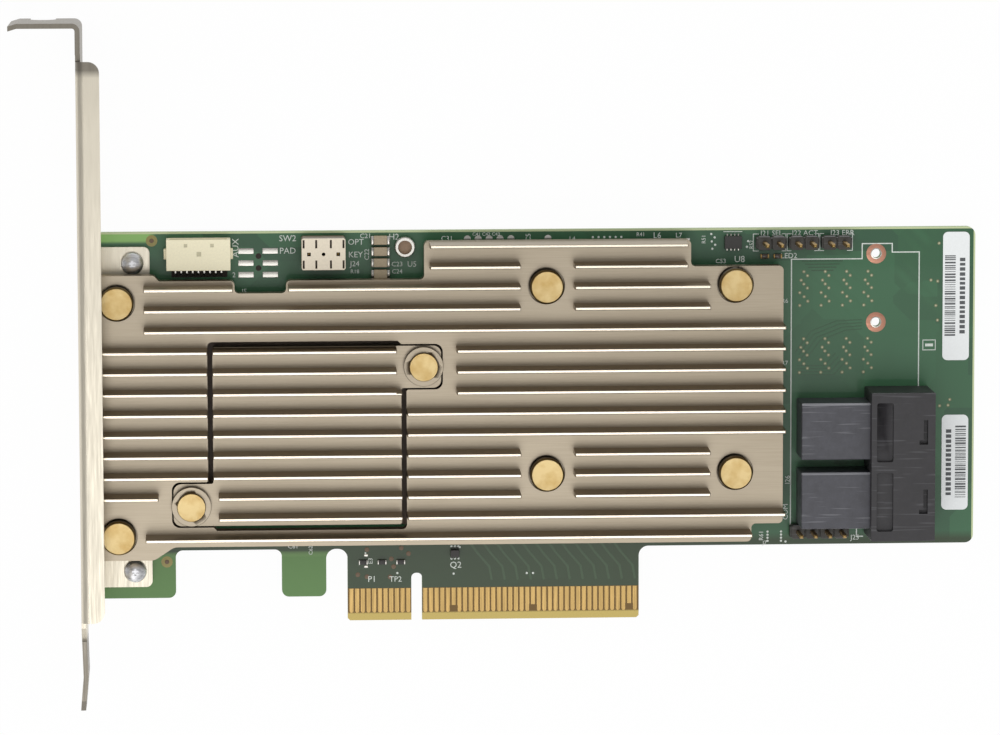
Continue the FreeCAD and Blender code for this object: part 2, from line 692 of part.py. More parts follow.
def make_bracket():
    """The bracket: bent tab and tongue, folded flange, lanced ears, vents and the screw notch."""
    bracket = Piece("bracket")
    tip = f"({BRACKET_OUT} - tab_reach)"
    knee = f"({BRACKET_LOW} + tongue_length)"
    dimple = f"({BRACKET_LOW} + tongue_length / 2)"
    strip = [
        (f"{BRACKET_IN} - tongue_kick", BRACKET_LOW, 0),
        (f"{BRACKET_IN} + tongue_bulge", dimple, "4 * bend"),
        (BRACKET_IN, knee, "4 * bend"),
        (BRACKET_IN, BRACKET_TOP, "bend + sheet"),
        (f"{tip} + tip_length", BRACKET_TOP, "bend"),
        (tip, f"{BRACKET_TOP} - tab_droop", 0),
        (tip, f"{BRACKET_TOP} - tab_droop - sheet", 0),
        (f"{tip} + tip_length", f"{BRACKET_TOP} - sheet", "bend"),
        (BRACKET_OUT, f"{BRACKET_TOP} - sheet", "bend"),
        (BRACKET_OUT, knee, "4 * bend"),
        (f"{BRACKET_OUT} + tongue_bulge", dimple, "4 * bend"),
        (f"{BRACKET_OUT} - tongue_kick", BRACKET_LOW, 0),
    ]
    bracket.add("XY", BRACKET_REAR, BRACKET_FRONT, strip)
    through = (f"{BRACKET_OUT} - {PAST}", f"{BRACKET_IN} + {PAST}")
    # the tongue: narrower than the sheet, with sloped shoulders and clipped corners
    side = "(bracket_width - tongue_width) / 2"
    for edge, way in ((BRACKET_REAR, 1), (BRACKET_FRONT, -1)):
        inner = f"({edge} + {way} * {side})"
        waste = [
            (f"{BRACKET_LOW} - {PAST}", f"{edge} - {way * PAST}", 0),
            (f"{knee} + {side} + {PAST}", f"{edge} - {way * PAST}", 0),
            (knee, inner, 0),
            (f"{BRACKET_LOW} + tongue_chamfer", inner, 0),
            (f"{BRACKET_LOW} - {PAST}", f"{inner} + {way} * (tongue_chamfer + {PAST})", 0),
        ]
        bracket.cut("YZ", *through, waste)
    # the open notch for the case screw
    notch_x = f"({tip} + screw_notch_inset)"
    notch = oblong(notch_x, BRACKET_REAR, "screw_notch_width", "2 * screw_notch_deep", "screw_notch_round")
    bracket.cut("XZ", f"{BRACKET_TOP} - 2 * sheet", f"{BRACKET_TOP} + {PAST}", notch)
    # the folded flange, with a relief notch at its upper end
    fold_low = f"({BRACKET_LOW} + flange_low_margin)"
    fold_top = f"({BRACKET_TOP} - flange_top_margin)"
    fold_start = f"({BRACKET_FRONT} - sheet - bend)"
    corner = rectangle(*through, fold_start, f"{BRACKET_FRONT} + {PAST}")
    bracket.cut("XZ", BRACKET_LOW, f"{fold_top} + relief", corner)
    fold = [
        (BRACKET_OUT, f"{fold_start} - sheet", 0),
        (BRACKET_IN, f"{fold_start} - sheet", 0),
        (BRACKET_IN, f"{BRACKET_FRONT} - sheet", "bend"),
        (f"{BRACKET_OUT} + flange_reach", f"{BRACKET_FRONT} - sheet", 0),
        (f"{BRACKET_OUT} + flange_reach", BRACKET_FRONT, 0),
        (BRACKET_OUT, BRACKET_FRONT, "bend + sheet"),
    ]
    bracket.add("XZ", fold_low, fold_top, fold)
    # the two ears, lanced from the sheet and folded over the board
    for centre in EAR_ROWS.values():
        low, high = f"({centre} - ear_width / 2)", f"({centre} + ear_width / 2)"
        sides = (f"{low} - ear_relief", f"{high} + ear_relief")
        window = rectangle(*sides, "-ear_bend", "ear_reach + sheet", "ear_relief")
        bracket.cut("YZ", *through, window)
        ear = [
            (BRACKET_OUT, f"{BACK} - sheet", 0),
            (BRACKET_IN, f"{BACK} - sheet", 0),
            (BRACKET_IN, "0", "ear_bend"),
            (EAR_END, "0", 0),
            (EAR_END, "sheet", 0),
            (BRACKET_OUT, "sheet", "ear_bend + sheet"),
        ]
        bracket.add("XZ", low, high, ear)
        hole = (EAR_SCREW, centre, "screw_size + 2 * screw_clear")
        bracket.cut("XY", f"-{PAST}", f"sheet + {PAST}", hole)
    # vents in the sheet, as two rows of hexagons
    for level, offset in (("vent_low", "0"), ("vent_low + vent_row", "vent_pitch / 2")):
        outline = hexagon(f"(vent_first + {offset})", level, "vent_width")
        vent = bracket.cut("YZ", *through, outline)
        bracket.repeat([vent], "Y", "vent_pitch", "vent_count")
    ear_end, flange_end = number(EAR_END), number(f"{BRACKET_OUT} + flange_reach")
    bracket.round_edges("ear_round", lambda edge: stands_at(edge, ear_end))
    bracket.round_edges("flange_round", lambda edge: stands_at(edge, flange_end))


def make_bracket_screws():
    """Pan-head screws through the ears and the board, with hexagon nuts on the solder side."""
    screws, nuts = [], []
    for row, centre in EAR_ROWS.items():
        screw = Piece("bracket_screw_" + row, kept=False)
        nut_low = f"({BACK} - nut_high)"
        end = f"({nut_low} - screw_end)"
        head_top = "(sheet + screw_head_high)"
        profile = [
            ("0", end, 0), ("screw_size / 2 - screw_point", end, 0),
            ("screw_size / 2", f"{end} + screw_point", 0),
            ("screw_size / 2", "sheet", 0), ("screw_head / 2", "sheet", 0),
            ("screw_head / 2", f"{head_top} - screw_dome", 0),
            ("screw_head / 2 - screw_dome", head_top, 0), ("0", head_top, 0),
        ]
        screw.turn(EAR_SCREW, centre, profile)
        for length, width in (("screw_socket", "screw_socket / 4"), ("screw_socket / 4", "screw_socket")):
            slot = oblong(EAR_SCREW, centre, length, width)
            screw.cut("XY", f"{head_top} - screw_head_high / 2", f"{head_top} + {PAST}", slot)
        screws.append(screw.body)
        nut = Piece("bracket_nut_" + row, kept=False)
        outline = hexagon(EAR_SCREW, centre, "nut_across")
        nut.add("XY", nut_low, BACK, outline, (EAR_SCREW, centre, "screw_size + screw_clear"))
        nuts.append(nut.body)
    group("bracket_screws", screws)
    group("bracket_nuts", nuts)


def fin_profile(row):
    """Section of one tapered fin of the common row of fins, as Y and Z."""
    centre = f"({FIRST_FIN} - {row} * fin_pitch)"
    return [
        (f"{centre} - fin_foot / 2", BASE_TOP, 0),
        (f"{centre} + fin_foot / 2", BASE_TOP, 0),
        (f"{centre} + fin_crest / 2", CREST, 0),
        (f"{centre} - fin_crest / 2", CREST, 0),
    ]


def trim_fins(sink, areas):
    """Clear the fins from upright rectangles that don't overlap, down to the base plate."""
    sink.cut("XY", BASE_TOP, f"{CREST} + {PAST}", *[rectangle(*area) for area in areas])


def bore_pin_seats(sink, pins):
    """Counterbore the base for each pin's head and spring, and drill it for the shank."""
    sink.cut("XY", RECESS_LOW, f"{CREST} + {PAST}", *[(x, y, "pin_recess") for x, y in pins])
    sink.cut("XY", f"{BASE} - {PAST}", f"{BASE_TOP}", *[(x, y, "pin_hole") for x, y in pins])


def make_main_heatsink():
    """The large heatsink: plate with window and notches, tapered fins cut back at every pin."""
    sink = Piece("main_heatsink")
    lobe_end = f"({EAR_END} + lobe_from_ear)"
    cut_left = f"({SINK_RIGHT} - low_cut_width)"
    socket_low = f"({SINK_TOP} - socket_cut_drop)"
    ear_low = f"({SINK_TOP} - ear_cut_drop)"
    pads_left, pads_right = "(-pads_cut_right - pads_cut_width)", "(-pads_cut_right)"
    plate = [
        (SINK_LEFT, "sink_lobe_low", "sink_round"),
        (lobe_end, "sink_lobe_low", "lobe_round"),
        (f"{lobe_end} + lobe_slope", "sink_low", "lobe_round"),
        (cut_left, "sink_low", "sink_round"),
        (cut_left, "sink_low + low_cut_rise", "sink_round"),
        (SINK_RIGHT, "sink_low + low_cut_rise", "sink_round"),
        (SINK_RIGHT, f"{SINK_TOP} - top_cut_drop", "sink_round"),
        (f"{SINK_RIGHT} - top_cut_width", f"{SINK_TOP} - top_cut_drop", "sink_round"),
        (f"{SINK_RIGHT} - top_cut_width", SINK_TOP, "sink_round"),
        ("socket_cut_right", SINK_TOP, "sink_round"),
        ("socket_cut_right", socket_low, "sink_round"),
        (pads_right, socket_low, "sink_round"),
        (pads_right, f"{socket_low} - pads_cut_drop", "sink_round"),
        (pads_left, f"{socket_low} - pads_cut_drop", "sink_round"),
        (pads_left, socket_low, "sink_round"),
        (f"{EAR_END} + 2 * sink_round", socket_low, "sink_round"),
        (f"{EAR_END} + sink_round", ear_low, "sink_round"),
        (SINK_LEFT, ear_low, "sink_round"),
    ]
    low_niche = f"({SMALL_LOW} + small_ear_depth + ear_gap)"
    top_niche = f"({SMALL_TOP} - small_ear_depth - ear_gap)"
    far_left = f"({SMALL_LEFT} - small_ear_reach - ear_gap)"
    far_right = f"({SMALL_RIGHT} + small_ear_reach + ear_gap)"
    step = "(window_gap - ear_gap)"
    window = [
        (far_left, f"{SMALL_LOW} - ear_gap", "small_ear_round"),
        (f"{SMALL_LEFT}", f"{SMALL_LOW} - ear_gap", 0),
        (f"{SMALL_LEFT} + {step}", f"{SMALL_LOW} - window_gap", 0),
        (f"{SMALL_RIGHT} + window_gap", f"{SMALL_LOW} - window_gap", "sink_round"),
        (f"{SMALL_RIGHT} + window_gap", top_niche, "sink_round / 2"),
        (far_right, top_niche, "small_ear_round"),
        (far_right, f"{SMALL_TOP} + ear_gap", "small_ear_round"),
        (f"{SMALL_RIGHT}", f"{SMALL_TOP} + ear_gap", 0),
        (f"{SMALL_RIGHT} - {step}", f"{SMALL_TOP} + window_gap", 0),
        (f"{SMALL_LEFT} - window_gap", f"{SMALL_TOP} + window_gap", "sink_round"),
        (f"{SMALL_LEFT} - window_gap", low_niche, "sink_round / 2"),
        (far_left, low_niche, "small_ear_round"),
    ]
    sink.add("XY", BASE, BASE_TOP, plate)
    fin = sink.add("YZ", SINK_LEFT, SINK_RIGHT, fin_profile(0))
    sink.repeat([fin], "Y", "fin_pitch", "fin_count", backwards=True)
    sink.cut("XY", f"{BASE} - {PAST}", f"{CREST} + {PAST}", window)
    # fins stop at the plate's own outline, and leave flats at the pins and beside the small heatsink's ears
    above = f"({TOP} + {PAST})"
    wide = f"({RIGHT} + {PAST})"
    outside = f"({SINK_LEFT} - {PAST})"
    left_end = f"({LEFT_PIN} + pin_flat)"
    half_run = "1.5 * fin_pitch"
    low_row, top_row = MAIN_PINS[4][1], MAIN_PINS[5][1]
    centre_flat = ("centre_pin_right - pin_flat", "centre_pin_right + pin_flat")
    right_flat = (f"{RIGHT_PIN} - pin_flat", wide)
    sixth_fin = f"({FIRST_FIN} - 5 * fin_pitch)"
    fourteenth_fin = f"({FIRST_FIN} - 13 * fin_pitch)"
    trim_fins(sink, [
        (outside, "socket_cut_right + small_fin_end", socket_low, above),
        (f"{SINK_RIGHT} - top_cut_width - small_fin_end", wide, f"{SINK_TOP} - top_cut_drop", above),
        (f"{cut_left} - ear_gap", wide, "0", "sink_low + low_cut_rise"),
        (*centre_flat, f"{low_row} - {half_run}", f"{low_row} + {half_run}"),
        (*centre_flat, f"{top_row} - {half_run}", f"{top_row} + {half_run}"),
        (outside, left_end, "0", fourteenth_fin),
        (f"{far_left} - window_flat", SMALL_LEFT, fourteenth_fin, f"{low_niche} + ear_gap"),
        (SMALL_RIGHT, f"{far_right} + window_flat", f"{top_niche} - 2 * ear_gap",
         f"{SMALL_TOP} + fin_pitch / 2"),
    ])
    trim_fins(sink, [
        (f"{pads_left} - ear_gap", f"{pads_right} + ear_gap", f"{socket_low} - pads_cut_drop", above),
        (*right_flat, f"{low_row} - {half_run}", f"{low_row} + {half_run}"),
        (*right_flat, f"{top_row} - {half_run}", f"{top_row} + {half_run}"),
        (outside, left_end, f"{sixth_fin} + fin_pitch / 2", above),
        (outside, SMALL_LEFT, f"{fourteenth_fin} - fin_pitch / 2", f"{fourteenth_fin} + fin_pitch / 2"),
    ])
    bore_pin_seats(sink, MAIN_PINS)


def make_small_heatsink():
    """The controller's own heatsink: nine fins in line with the large one's, and two ears."""
    sink = Piece("controller_heatsink")
    low_ear = f"({SMALL_LOW} + small_ear_depth)"
    top_ear = f"({SMALL_TOP} - small_ear_depth)"
    plate = [
        (f"{SMALL_LEFT} - small_ear_reach", SMALL_LOW, "small_ear_round"),
        (SMALL_RIGHT, SMALL_LOW, "sink_round / 2"),
        (SMALL_RIGHT, top_ear, "sink_round / 2"),
        (f"{SMALL_RIGHT} + small_ear_reach", top_ear, "small_ear_round"),
        (f"{SMALL_RIGHT} + small_ear_reach", SMALL_TOP, "small_ear_round"),
        (SMALL_LEFT, SMALL_TOP, "sink_round / 2"),
        (SMALL_LEFT, low_ear, "sink_round / 2"),
        (f"{SMALL_LEFT} - small_ear_reach", low_ear, "small_ear_round"),
    ]
    sink.add("XY", BASE, BASE_TOP, plate)
    fin = sink.add("YZ", SMALL_LEFT, SMALL_RIGHT, fin_profile(5))
    sink.repeat([fin], "Y", "fin_pitch", "fin_count - 6", backwards=True)
    trim_fins(sink, [
        (f"{SMALL_RIGHT} - small_fin_end", f"{SMALL_RIGHT} + {PAST}",
         f"{top_ear} - ear_gap", f"{SMALL_TOP} + {PAST}"),
        (f"{SMALL_LEFT} - {PAST}", f"{SMALL_LEFT} + small_fin_end",
         f"{SMALL_LOW} - {PAST}", f"{low_ear} + ear_gap"),
    ])
    bore_pin_seats(sink, SMALL_PINS)


def make_pins(prefix, places):
    """Turned push pins with a split barb, each held up by its own spring."""
    pins, springs = [], []
    for index, (x, y) in enumerate(places, start=1):
        pin = Piece(f"{prefix}_pin_{index}", kept=False)
        shank = "(pin_hole / 2 - pin_clear)"
        barb_top = f"({BACK} - pin_clear)"
        barb_low = f"({barb_top} - barb_high)"
        tip = f"({barb_low} - pin_tip_high)"
        profile = [
            ("0", tip, 0), ("pin_tip / 2", tip, 0), ("barb_width / 2", barb_low, 0),
            ("barb_width / 2", barb_top, 0), (shank, barb_top, 0), (shank, HEAD_LOW, 0),
            ("pin_head / 2", HEAD_LOW, 0), ("pin_head / 2", f"{PIN_TOP} - (pin_head - pin_face) / 2", 0),
            ("pin_face / 2", PIN_TOP, 0), ("0", PIN_TOP, 0),
        ]
        pin.turn(x, y, profile)
        slot = oblong(x, y, "pin_slot", "2 * barb_width")
        pin.cut("XY", f"{tip} - {PAST}", BACK, slot)
        pins.append(pin.body)
        springs.append(make_spring(f"{prefix}_spring_{index}", x, y))
    group(prefix + "_pins", pins)
    group(prefix + "_springs", springs)


def make_spring(name, x_rule, y_rule):
    """A coil of wire between a pin's head and its recess, as straight lengths mitred together."""
    wire = number("spring_wire")
    radius = number("pin_recess / 2 - spring_clear") - wire
    low = number(RECESS_LOW) + wire / 2 + number("pin_clear")
    rise = number(HEAD_LOW) - number("pin_clear") - wire / 2 - low
    steps = SPRING_CORNERS * round(number("spring_turns"))
    spots = []
    for step in range(steps + 1):
        angle = 2 * math.pi * step / SPRING_CORNERS
        height = low + rise * step / steps
        spots.append(FreeCAD.Vector(radius * math.cos(angle), radius * math.sin(angle), height))
    half = wire / 2
    ends = [(-half, -half), (half, -half), (half, half), (-half, half), (-half, -half)]
    heading = spots[1] - spots[0]
    out = FreeCAD.Vector(1, 0, 0)
    up = heading.cross(out).normalize()
    across = up.cross(heading).normalize()
    section = Part.makePolygon([spots[0] + across * a + up * b for a, b in ends])
    coil = Part.makePolygon(spots).makePipeShell([section], True, True, 1)
    spring = doc.addObject("Part::Feature", name)
    spring.Shape = coil
    spring.Placement = FreeCAD.Placement(
        FreeCAD.Vector(number(x_rule), number(y_rule), 0), FreeCAD.Rotation())
    return spring


def make_controller():
    """The controller chip, its lid and the pad that carries the heat to the small heatsink."""
    chip = Piece("controller_chip")
    chip_top = "(ball_gap + chip_high)"
    lid_top = f"({chip_top} + lid_high)"
    chip.add("XY", "ball_gap", chip_top, oblong(CHIP_X, CHIP_Y, "chip_width", "chip_width"))
    ball_width = "chip_width - 2 * lid_high"
    chip.add("XY", "0", "ball_gap", oblong(CHIP_X, CHIP_Y, ball_width, ball_width))
    lid = Piece("controller_lid")
    area = around(CHIP_X, CHIP_Y, "lid_width", "lid_width")
    lid.add("XY", chip_top, lid_top, rectangle(*area[0], *area[1], "lid_round"))
    group("controller_thermal_pad", [block("controller_pad", (*area, (lid_top, BASE)))])


def make_heat_sources():
    """Memory chips and supply coils below the large heatsink, each with its own pad."""
    chips, chip_pads, coils, coil_pads = [], [], [], []
    for index in range(round(number("memory_count"))):
        low = f"(memory_low + ({index} - 2 * floor({index} / 2)) * (memory_length + memory_gap))"
        left = f"(memory_left + floor({index} / 2) * (memory_width + memory_gap))"
        area = ((left, f"{left} + memory_width"), (low, f"{low} + memory_length"))
        chips.append(block(f"memory_chip_{index + 1}", (*area, ("0", "memory_high"))))
        chip_pads.append(block(f"memory_pad_{index + 1}", (*area, ("memory_high", BASE))))
    for index in range(round(number("coil_count"))):
        middle = f"(coil_left + {index} * coil_pitch)"
        area = around(middle, "coil_low + coil_width / 2", "coil_width", "coil_width")
        coils.append(block(f"coil_{index + 1}", (*area, ("0", "coil_high"))))
        area = around(middle, "coil_low + coil_width / 2", "coil_pad_width", "coil_pad_width")
        coil_pads.append(block(f"coil_pad_{index + 1}", (*area, ("coil_high", BASE))))
    group("memory_chips", chips)
    group("memory_thermal_pads", chip_pads)
    group("power_inductors", coils)
    group("power_thermal_pads", coil_pads)


def make_data_port():
    """The double data connector: housing with two mouths, contact carriers and contacts."""
    housing = Piece("data_port_housing")
    top = "(port_base + port_high)"
    first = f"({PORT_BOTTOM} + port_width / 2 - port_pitch / 2)"
    mouth_low = "(port_base + mouth_floor)"
    mouth_top = f"({mouth_low} + mouth_high)"
    port_top = f"{PORT_BOTTOM} + port_width"
    housing.add("XY", "0", top, rectangle(PORT_REAR, PORT_FRONT, PORT_BOTTOM, port_top))
    mouth_middle = f"({mouth_low} + mouth_high / 2)"
    mouth = oblong(first, mouth_middle, "mouth_width", "mouth_high", "port_round")
    half_bay = "(carrier_width / 2 + nose_clear)"
    bay = (f"{first} - {half_bay}", f"{first} + {half_bay}")
    rear = rectangle(*bay, f"-{PAST}", "carrier_high + nose_clear")
    latch_x = f"{PORT_REAR} + latch_slot_inset + latch_slot_width / 2"
    latch = oblong(latch_x, first, "latch_slot_width", "latch_slot_length", "port_round")
    hook_x = f"({PORT_FRONT} - hook_inset)"
    hook = [
        (f"{hook_x} - hook_foot", f"{first} - hook_length / 2", 0),
        (hook_x, f"{first} - hook_length / 2", 0),
        (hook_x, f"{first} + hook_length / 2", 0),
        (f"{hook_x} - hook_width", f"{first} + hook_length / 2", 0),
        (f"{hook_x} - hook_width", f"{first} - hook_length / 2 + hook_width", 0),
        (f"{hook_x} - hook_foot", f"{first} - hook_length / 2 + hook_width", 0),
    ]
    cuts = [
        housing.cut("YZ", f"{PORT_FRONT} - mouth_deep", f"{PORT_FRONT} + {PAST}", mouth),
        housing.cut("YZ", f"{PORT_REAR} - {PAST}", f"{PORT_FRONT} - mouth_deep + {PAST}", rear),
        housing.cut("XY", f"{top} - latch_slot_deep", f"{top} + {PAST}", latch),
        housing.cut("XY", f"{top} - hook_deep", f"{top} + {PAST}", hook),
    ]
    housing.repeat(cuts, "Y", "port_pitch", "2")
    carriers = Piece("data_port_carriers")
    far_side = f"({first} + carrier_width / 2)"
    body = [
        (f"{first} - carrier_width / 2", "0", 0),
        (far_side, "0", 0),
        (far_side, "carrier_high - carrier_bevel", 0),
        (f"{far_side} - carrier_bevel", "carrier_high", 0),
        (f"{first} - carrier_width / 2", "carrier_high", 0),
    ]
    rear_end = f"({PORT_FRONT} - mouth_deep)"
    nose_front = f"({rear_end} + carrier_nose)"
    nose = rectangle(f"{first} - mouth_width / 2 + nose_clear", f"{first} + mouth_width / 2 - nose_clear",
                     f"{mouth_low} + nose_clear", f"{mouth_top} - nose_clear", "port_round")
    floors = [f"({mouth_middle} + {side} * nose_slot_pitch / 2 - nose_slot_high / 2)" for side in (-1, 1)]
    slots = [rectangle(f"{first} - nose_slot_width / 2", f"{first} + nose_slot_width / 2",
                       floor, f"{floor} + nose_slot_high") for floor in floors]
    blade_rear = f"({nose_front} - blade_length - nose_clear)"
    steps = [
        carriers.add("YZ", CARRIER_REAR, rear_end, body),
        carriers.add("YZ", rear_end, nose_front, nose),
        carriers.cut("YZ", blade_rear, f"{nose_front} + {PAST}", *slots),
    ]
    carriers.repeat(steps, "Y", "port_pitch", "2")
    blades = Piece("data_port_contacts")
    for port in (0, 1):
        start = centred(f"{first} + {port} * port_pitch", "blade_pitch", "blade_count")
        rows = [rectangle(f"{start} - blade_width / 2", f"{start} + blade_width / 2", floor,
                          f"{floor} + blade_thick") for floor in floors]
        blade = blades.add("YZ", blade_rear, f"{nose_front} - nose_clear", *rows)
        blades.repeat([blade], "Y", "blade_pitch", "blade_count")


def make_backup_socket():
    """The white side-entry socket for the cache backup lead, with its row of contacts."""
    left = "(-socket_left)"
    right = f"({left} + socket_width)"
    front = f"({TOP} - socket_edge)"
    rear = f"({front} - socket_depth)"
    socket = Piece("backup_power_socket")
    shell = rectangle(left, right, rear, front)
    socket.add("XY", "0", "socket_high", shell)
    lugs = rectangle(f"{left} - socket_lug", f"{right} + socket_lug", f"{front} - 2 * socket_lug_depth",
                     f"{front} - socket_lug_depth")
    socket.add("XY", "0", "socket_high / 2", lugs)
    mouth = rectangle(
        f"{left} + socket_wall", f"{right} - socket_wall", "socket_wall", "socket_high - socket_wall")
    socket.cut("XZ", f"{front} - socket_mouth_deep", f"{front} + {PAST}", mouth)
    middle = f"(({left} + {right}) / 2)"
    start = centred(middle, "socket_pin_pitch", "socket_pin_count")
    groove = rectangle(f"{start} - socket_pin / 2 - pin_clear", f"{start} + socket_pin / 2 + pin_clear",
                       f"-{PAST}", "socket_pin + pin_clear")
    hole = oblong(start, "socket_high / 2", "socket_pin", "socket_pin")
    back_wall = f"({front} - socket_mouth_deep)"
    socket.repeat([socket.cut("XZ", f"{rear} - {PAST}", f"{rear} + socket_wall", groove)], "X",
                  "socket_pin_pitch", "socket_pin_count")
    socket.repeat([socket.cut("XZ", f"{rear} - {PAST}", f"{back_wall} + {PAST}", hole)], "X",
                  "socket_pin_pitch", "socket_pin_count")
    contacts = Piece("backup_power_contacts")
    pin = contacts.add("XZ", f"{rear} - socket_pin", f"{front} - socket_wall", hole)
    sides = (f"{start} - socket_pin / 2", f"{start} + socket_pin / 2")
    drop = rectangle(*sides, "0", "socket_high / 2 + socket_pin / 2")
    leg = contacts.add("XZ", f"{rear} - 2 * socket_pin", f"{rear} - socket_pin", drop)
    tail_area = rectangle(*sides, "0", "socket_pin / 2")
    tail = contacts.add("XZ", f"{rear} - socket_tail", f"{rear} - 2 * socket_pin", tail_area)
    contacts.repeat([pin, leg, tail], "X", "socket_pin_pitch", "socket_pin_count")


def make_key_header():
    """The beige three-place key header with its middle pin left out."""
    body = Piece("key_header_body")
    first, y = "(-key_header_left)", f"({TOP} - key_header_drop)"
    last = f"({first} + 2 * header_pitch)"
    half = "header_pitch / 2"
    low, high = f"({y} - key_body_depth / 2)", f"({y} + key_body_depth / 2)"
    ends = (f"{first} - {half}", f"{last} + {half}")
    body.add("XY", "0", "key_body_high", clipped(ends, (low, high), "header_slit"))
    pins = [oblong(x, y, "header_pin", "header_pin") for x in (first, last)]
    body.cut("XY", f"-{PAST}", f"key_body_high + {PAST}", *pins,
             (f"{first} + header_pitch", y, "header_pin"))
    slits = []
    steps = (
        f"-{half} + key_slit_wide", half,
        f"header_pitch + {half}", f"2 * header_pitch + {half} - key_slit_wide",
    )
    for step in steps:
        x = f"({first} + {step})"
        for start, stop in ((f"{high} - key_slit_long", f"{high} - header_slit"),
                            (f"{low} + header_slit", f"{low} + key_slit_long")):
            slits.append(rectangle(f"{x} - key_slit_wide / 2", f"{x} + key_slit_wide / 2", start, stop))
    body.cut("XY", "key_body_high - key_slit_deep", f"key_body_high + {PAST}", *slits)
    posts = Piece("key_header_pins")
    posts.add("XY", "0", "key_pin_high", *pins)


def make_header(name, x_rule, y_rule, count_rule):
    """A straight black pin header: a notched bar with square pins."""
    body = Piece(name + "_body", kept=False)
    first = x_rule
    area = around(first, y_rule, "header_pitch - header_slit", "header_width")
    cell = body.add("XY", "0", "header_body_high", clipped(*area, "header_slit"))
    waist = around(first, y_rule, "header_pitch + header_slit", "header_width - 2 * header_slit")
    bar = body.add("XY", "0", "header_body_high - header_slit", rectangle(*waist[0], *waist[1]))
    post = oblong(first, y_rule, "header_pin", "header_pin")
    body.repeat([cell, bar], "X", "header_pitch", count_rule)
    hole = body.cut("XY", f"-{PAST}", f"header_body_high + {PAST}", post)
    body.repeat([hole], "X", "header_pitch", count_rule)
    pins = Piece(name + "_pins", kept=False)
    pin = pins.add("XY", "0", "header_pin_high", post)
    pins.repeat([pin], "X", "header_pitch", count_rule)
    return body.body, pins.body


def make_headers():
    """Three two-pin headers on the upper edge and a four-pin one on the lower edge."""
    bodies, pins = [], []
    for index in range(round(number("jumper_count"))):
        x = f"({RIGHT} - jumper_inset + {index} * jumper_pitch)"
        body, posts = make_header(f"jumper_{index + 1}", x, f"({TOP} - jumper_drop)", "2")
        bodies.append(body)
        pins.append(posts)
    group("jumper_header_bodies", bodies)
    group("jumper_header_pins", pins)
    place = (f"({RIGHT} - console_inset)", "(low_edge + console_rise)")
    body, posts = make_header("console", *place, "console_pins")
    group("console_header_body", [body])
    group("console_header_pins", [posts])


def make_logic_chip():
    """The eight-lead chip by the upper edge."""
    x, y = f"({RIGHT} - chip8_inset)", f"({TOP} - chip8_drop)"
    chip = Piece("logic_chip")
    outline = oblong(x, y, "chip8_length", "chip8_width")
    chip.add("XY", "lead_thick", "lead_thick + chip8_high", outline)
    leads = Piece("logic_chip_leads")
    start = centred(x, "lead_pitch", "4")
    sides = []
    for side in (-1, 1):
        near = f"{y} + {side} * (chip8_width / 2 - lead_reach)"
        far = f"{y} + {side} * (chip8_width / 2 + lead_reach)"
        low, high = (far, near) if side < 0 else (near, far)
        sides.append(rectangle(f"{start} - lead_width / 2", f"{start} + lead_width / 2", low, high))
    leads.repeat([leads.add("XY", "0", "lead_thick", *sides)], "X", "lead_pitch", "4")


def make_two_ended(name, caps_name, places, length, width, high, cap, upright=True):
    """Blocks with metal end caps: ceramic capacitors, resistors and lamps."""
    bodies, caps = [], []
    for index, (x, y) in enumerate(places, start=1):
        across = around(x, y, length, width)[1]
        body_x = (f"({x}) - ({length}) / 2 + {cap}", f"({x}) + ({length}) / 2 - {cap}")
        levels = ("0", high) if upright else (f"{BACK} - {high}", BACK)
        bodies.append(block(f"{name}_{index}", (body_x, across, levels)))
        ends = (f"({x}) - ({length}) / 2", f"({x}) + ({length}) / 2")
        caps.append(block(f"{name}_{index}_left", ((ends[0], body_x[0]), across, levels)))
        caps.append(block(f"{name}_{index}_right", ((body_x[1], ends[1]), across, levels)))
    group(name, bodies)
    group(caps_name, caps)


def make_small_parts():
    """Capacitors, resistors, the transistor, lamps and the round spacer nut."""
    stack_x = "-capacitor_left + capacitor_length / 2"
    stack = [(stack_x, f"{TOP} - capacitor_drop - {index} * capacitor_pitch")
             for index in range(round(number("capacitor_count")))]
    make_two_ended("bulk_capacitors", "bulk_capacitor_ends", stack, "capacitor_length", "capacitor_width",
                   "capacitor_high", "capacitor_cap")
    row = [(f"-small_left + {index} * small_pitch", "small_rise")
           for index in range(round(number("small_count")))]
    make_two_ended("edge_resistors", "edge_resistor_ends", row, "small_length", "small_width", "small_high",
                   "small_high / 2")
    lamps = [(f"{RIGHT} - led_inset + {index} * led_pitch", f"{TOP} - led_drop")
             for index in range(round(number("led_count")))]
    make_two_ended("status_leds", "status_led_ends", lamps, "led_length", "led_width", "small_high",
                   "small_high / 2")
    back_start = centred(CHIP_X, "back_pitch", "back_count")
    under = [(f"{back_start} + {index} * back_pitch", f"{CHIP_Y} + {side} * back_pitch")
             for index in range(round(number("back_count"))) for side in (-1, 1)]
    make_two_ended("solder_side_capacitors", "solder_side_capacitor_ends", under,
                   "small_length", "small_width", "small_high", "small_high / 2", upright=False)
    transistor = Piece("transistor")
    outline = oblong("transistor_right", "transistor_rise", "transistor_length", "transistor_width")
    transistor.add("XY", "lead_thick", "lead_thick + transistor_high", outline)
    legs = []
    for step in (-1, 0, 1):
        legs.append(oblong(f"transistor_right + {step} * transistor_pitch", "transistor_rise", "lead_width",
                           "transistor_width + 2 * lead_reach"))
    transistor.add("XY", "0", "lead_thick", *legs)
    spacer = Piece("spacer_nut")
    bore, outer = "spacer_bore / 2", "spacer_size / 2"
    spacer.turn("(-spacer_left)", f"({TOP} - spacer_drop)", [
        (bore, "0", 0), (outer, "0", 0), (outer, "spacer_high / 2", 0),
        (f"{outer} - spacer_lip", "spacer_high / 2", 0), (f"{outer} - spacer_lip", "spacer_high", 0),
        (bore, "spacer_high", 0),
    ])


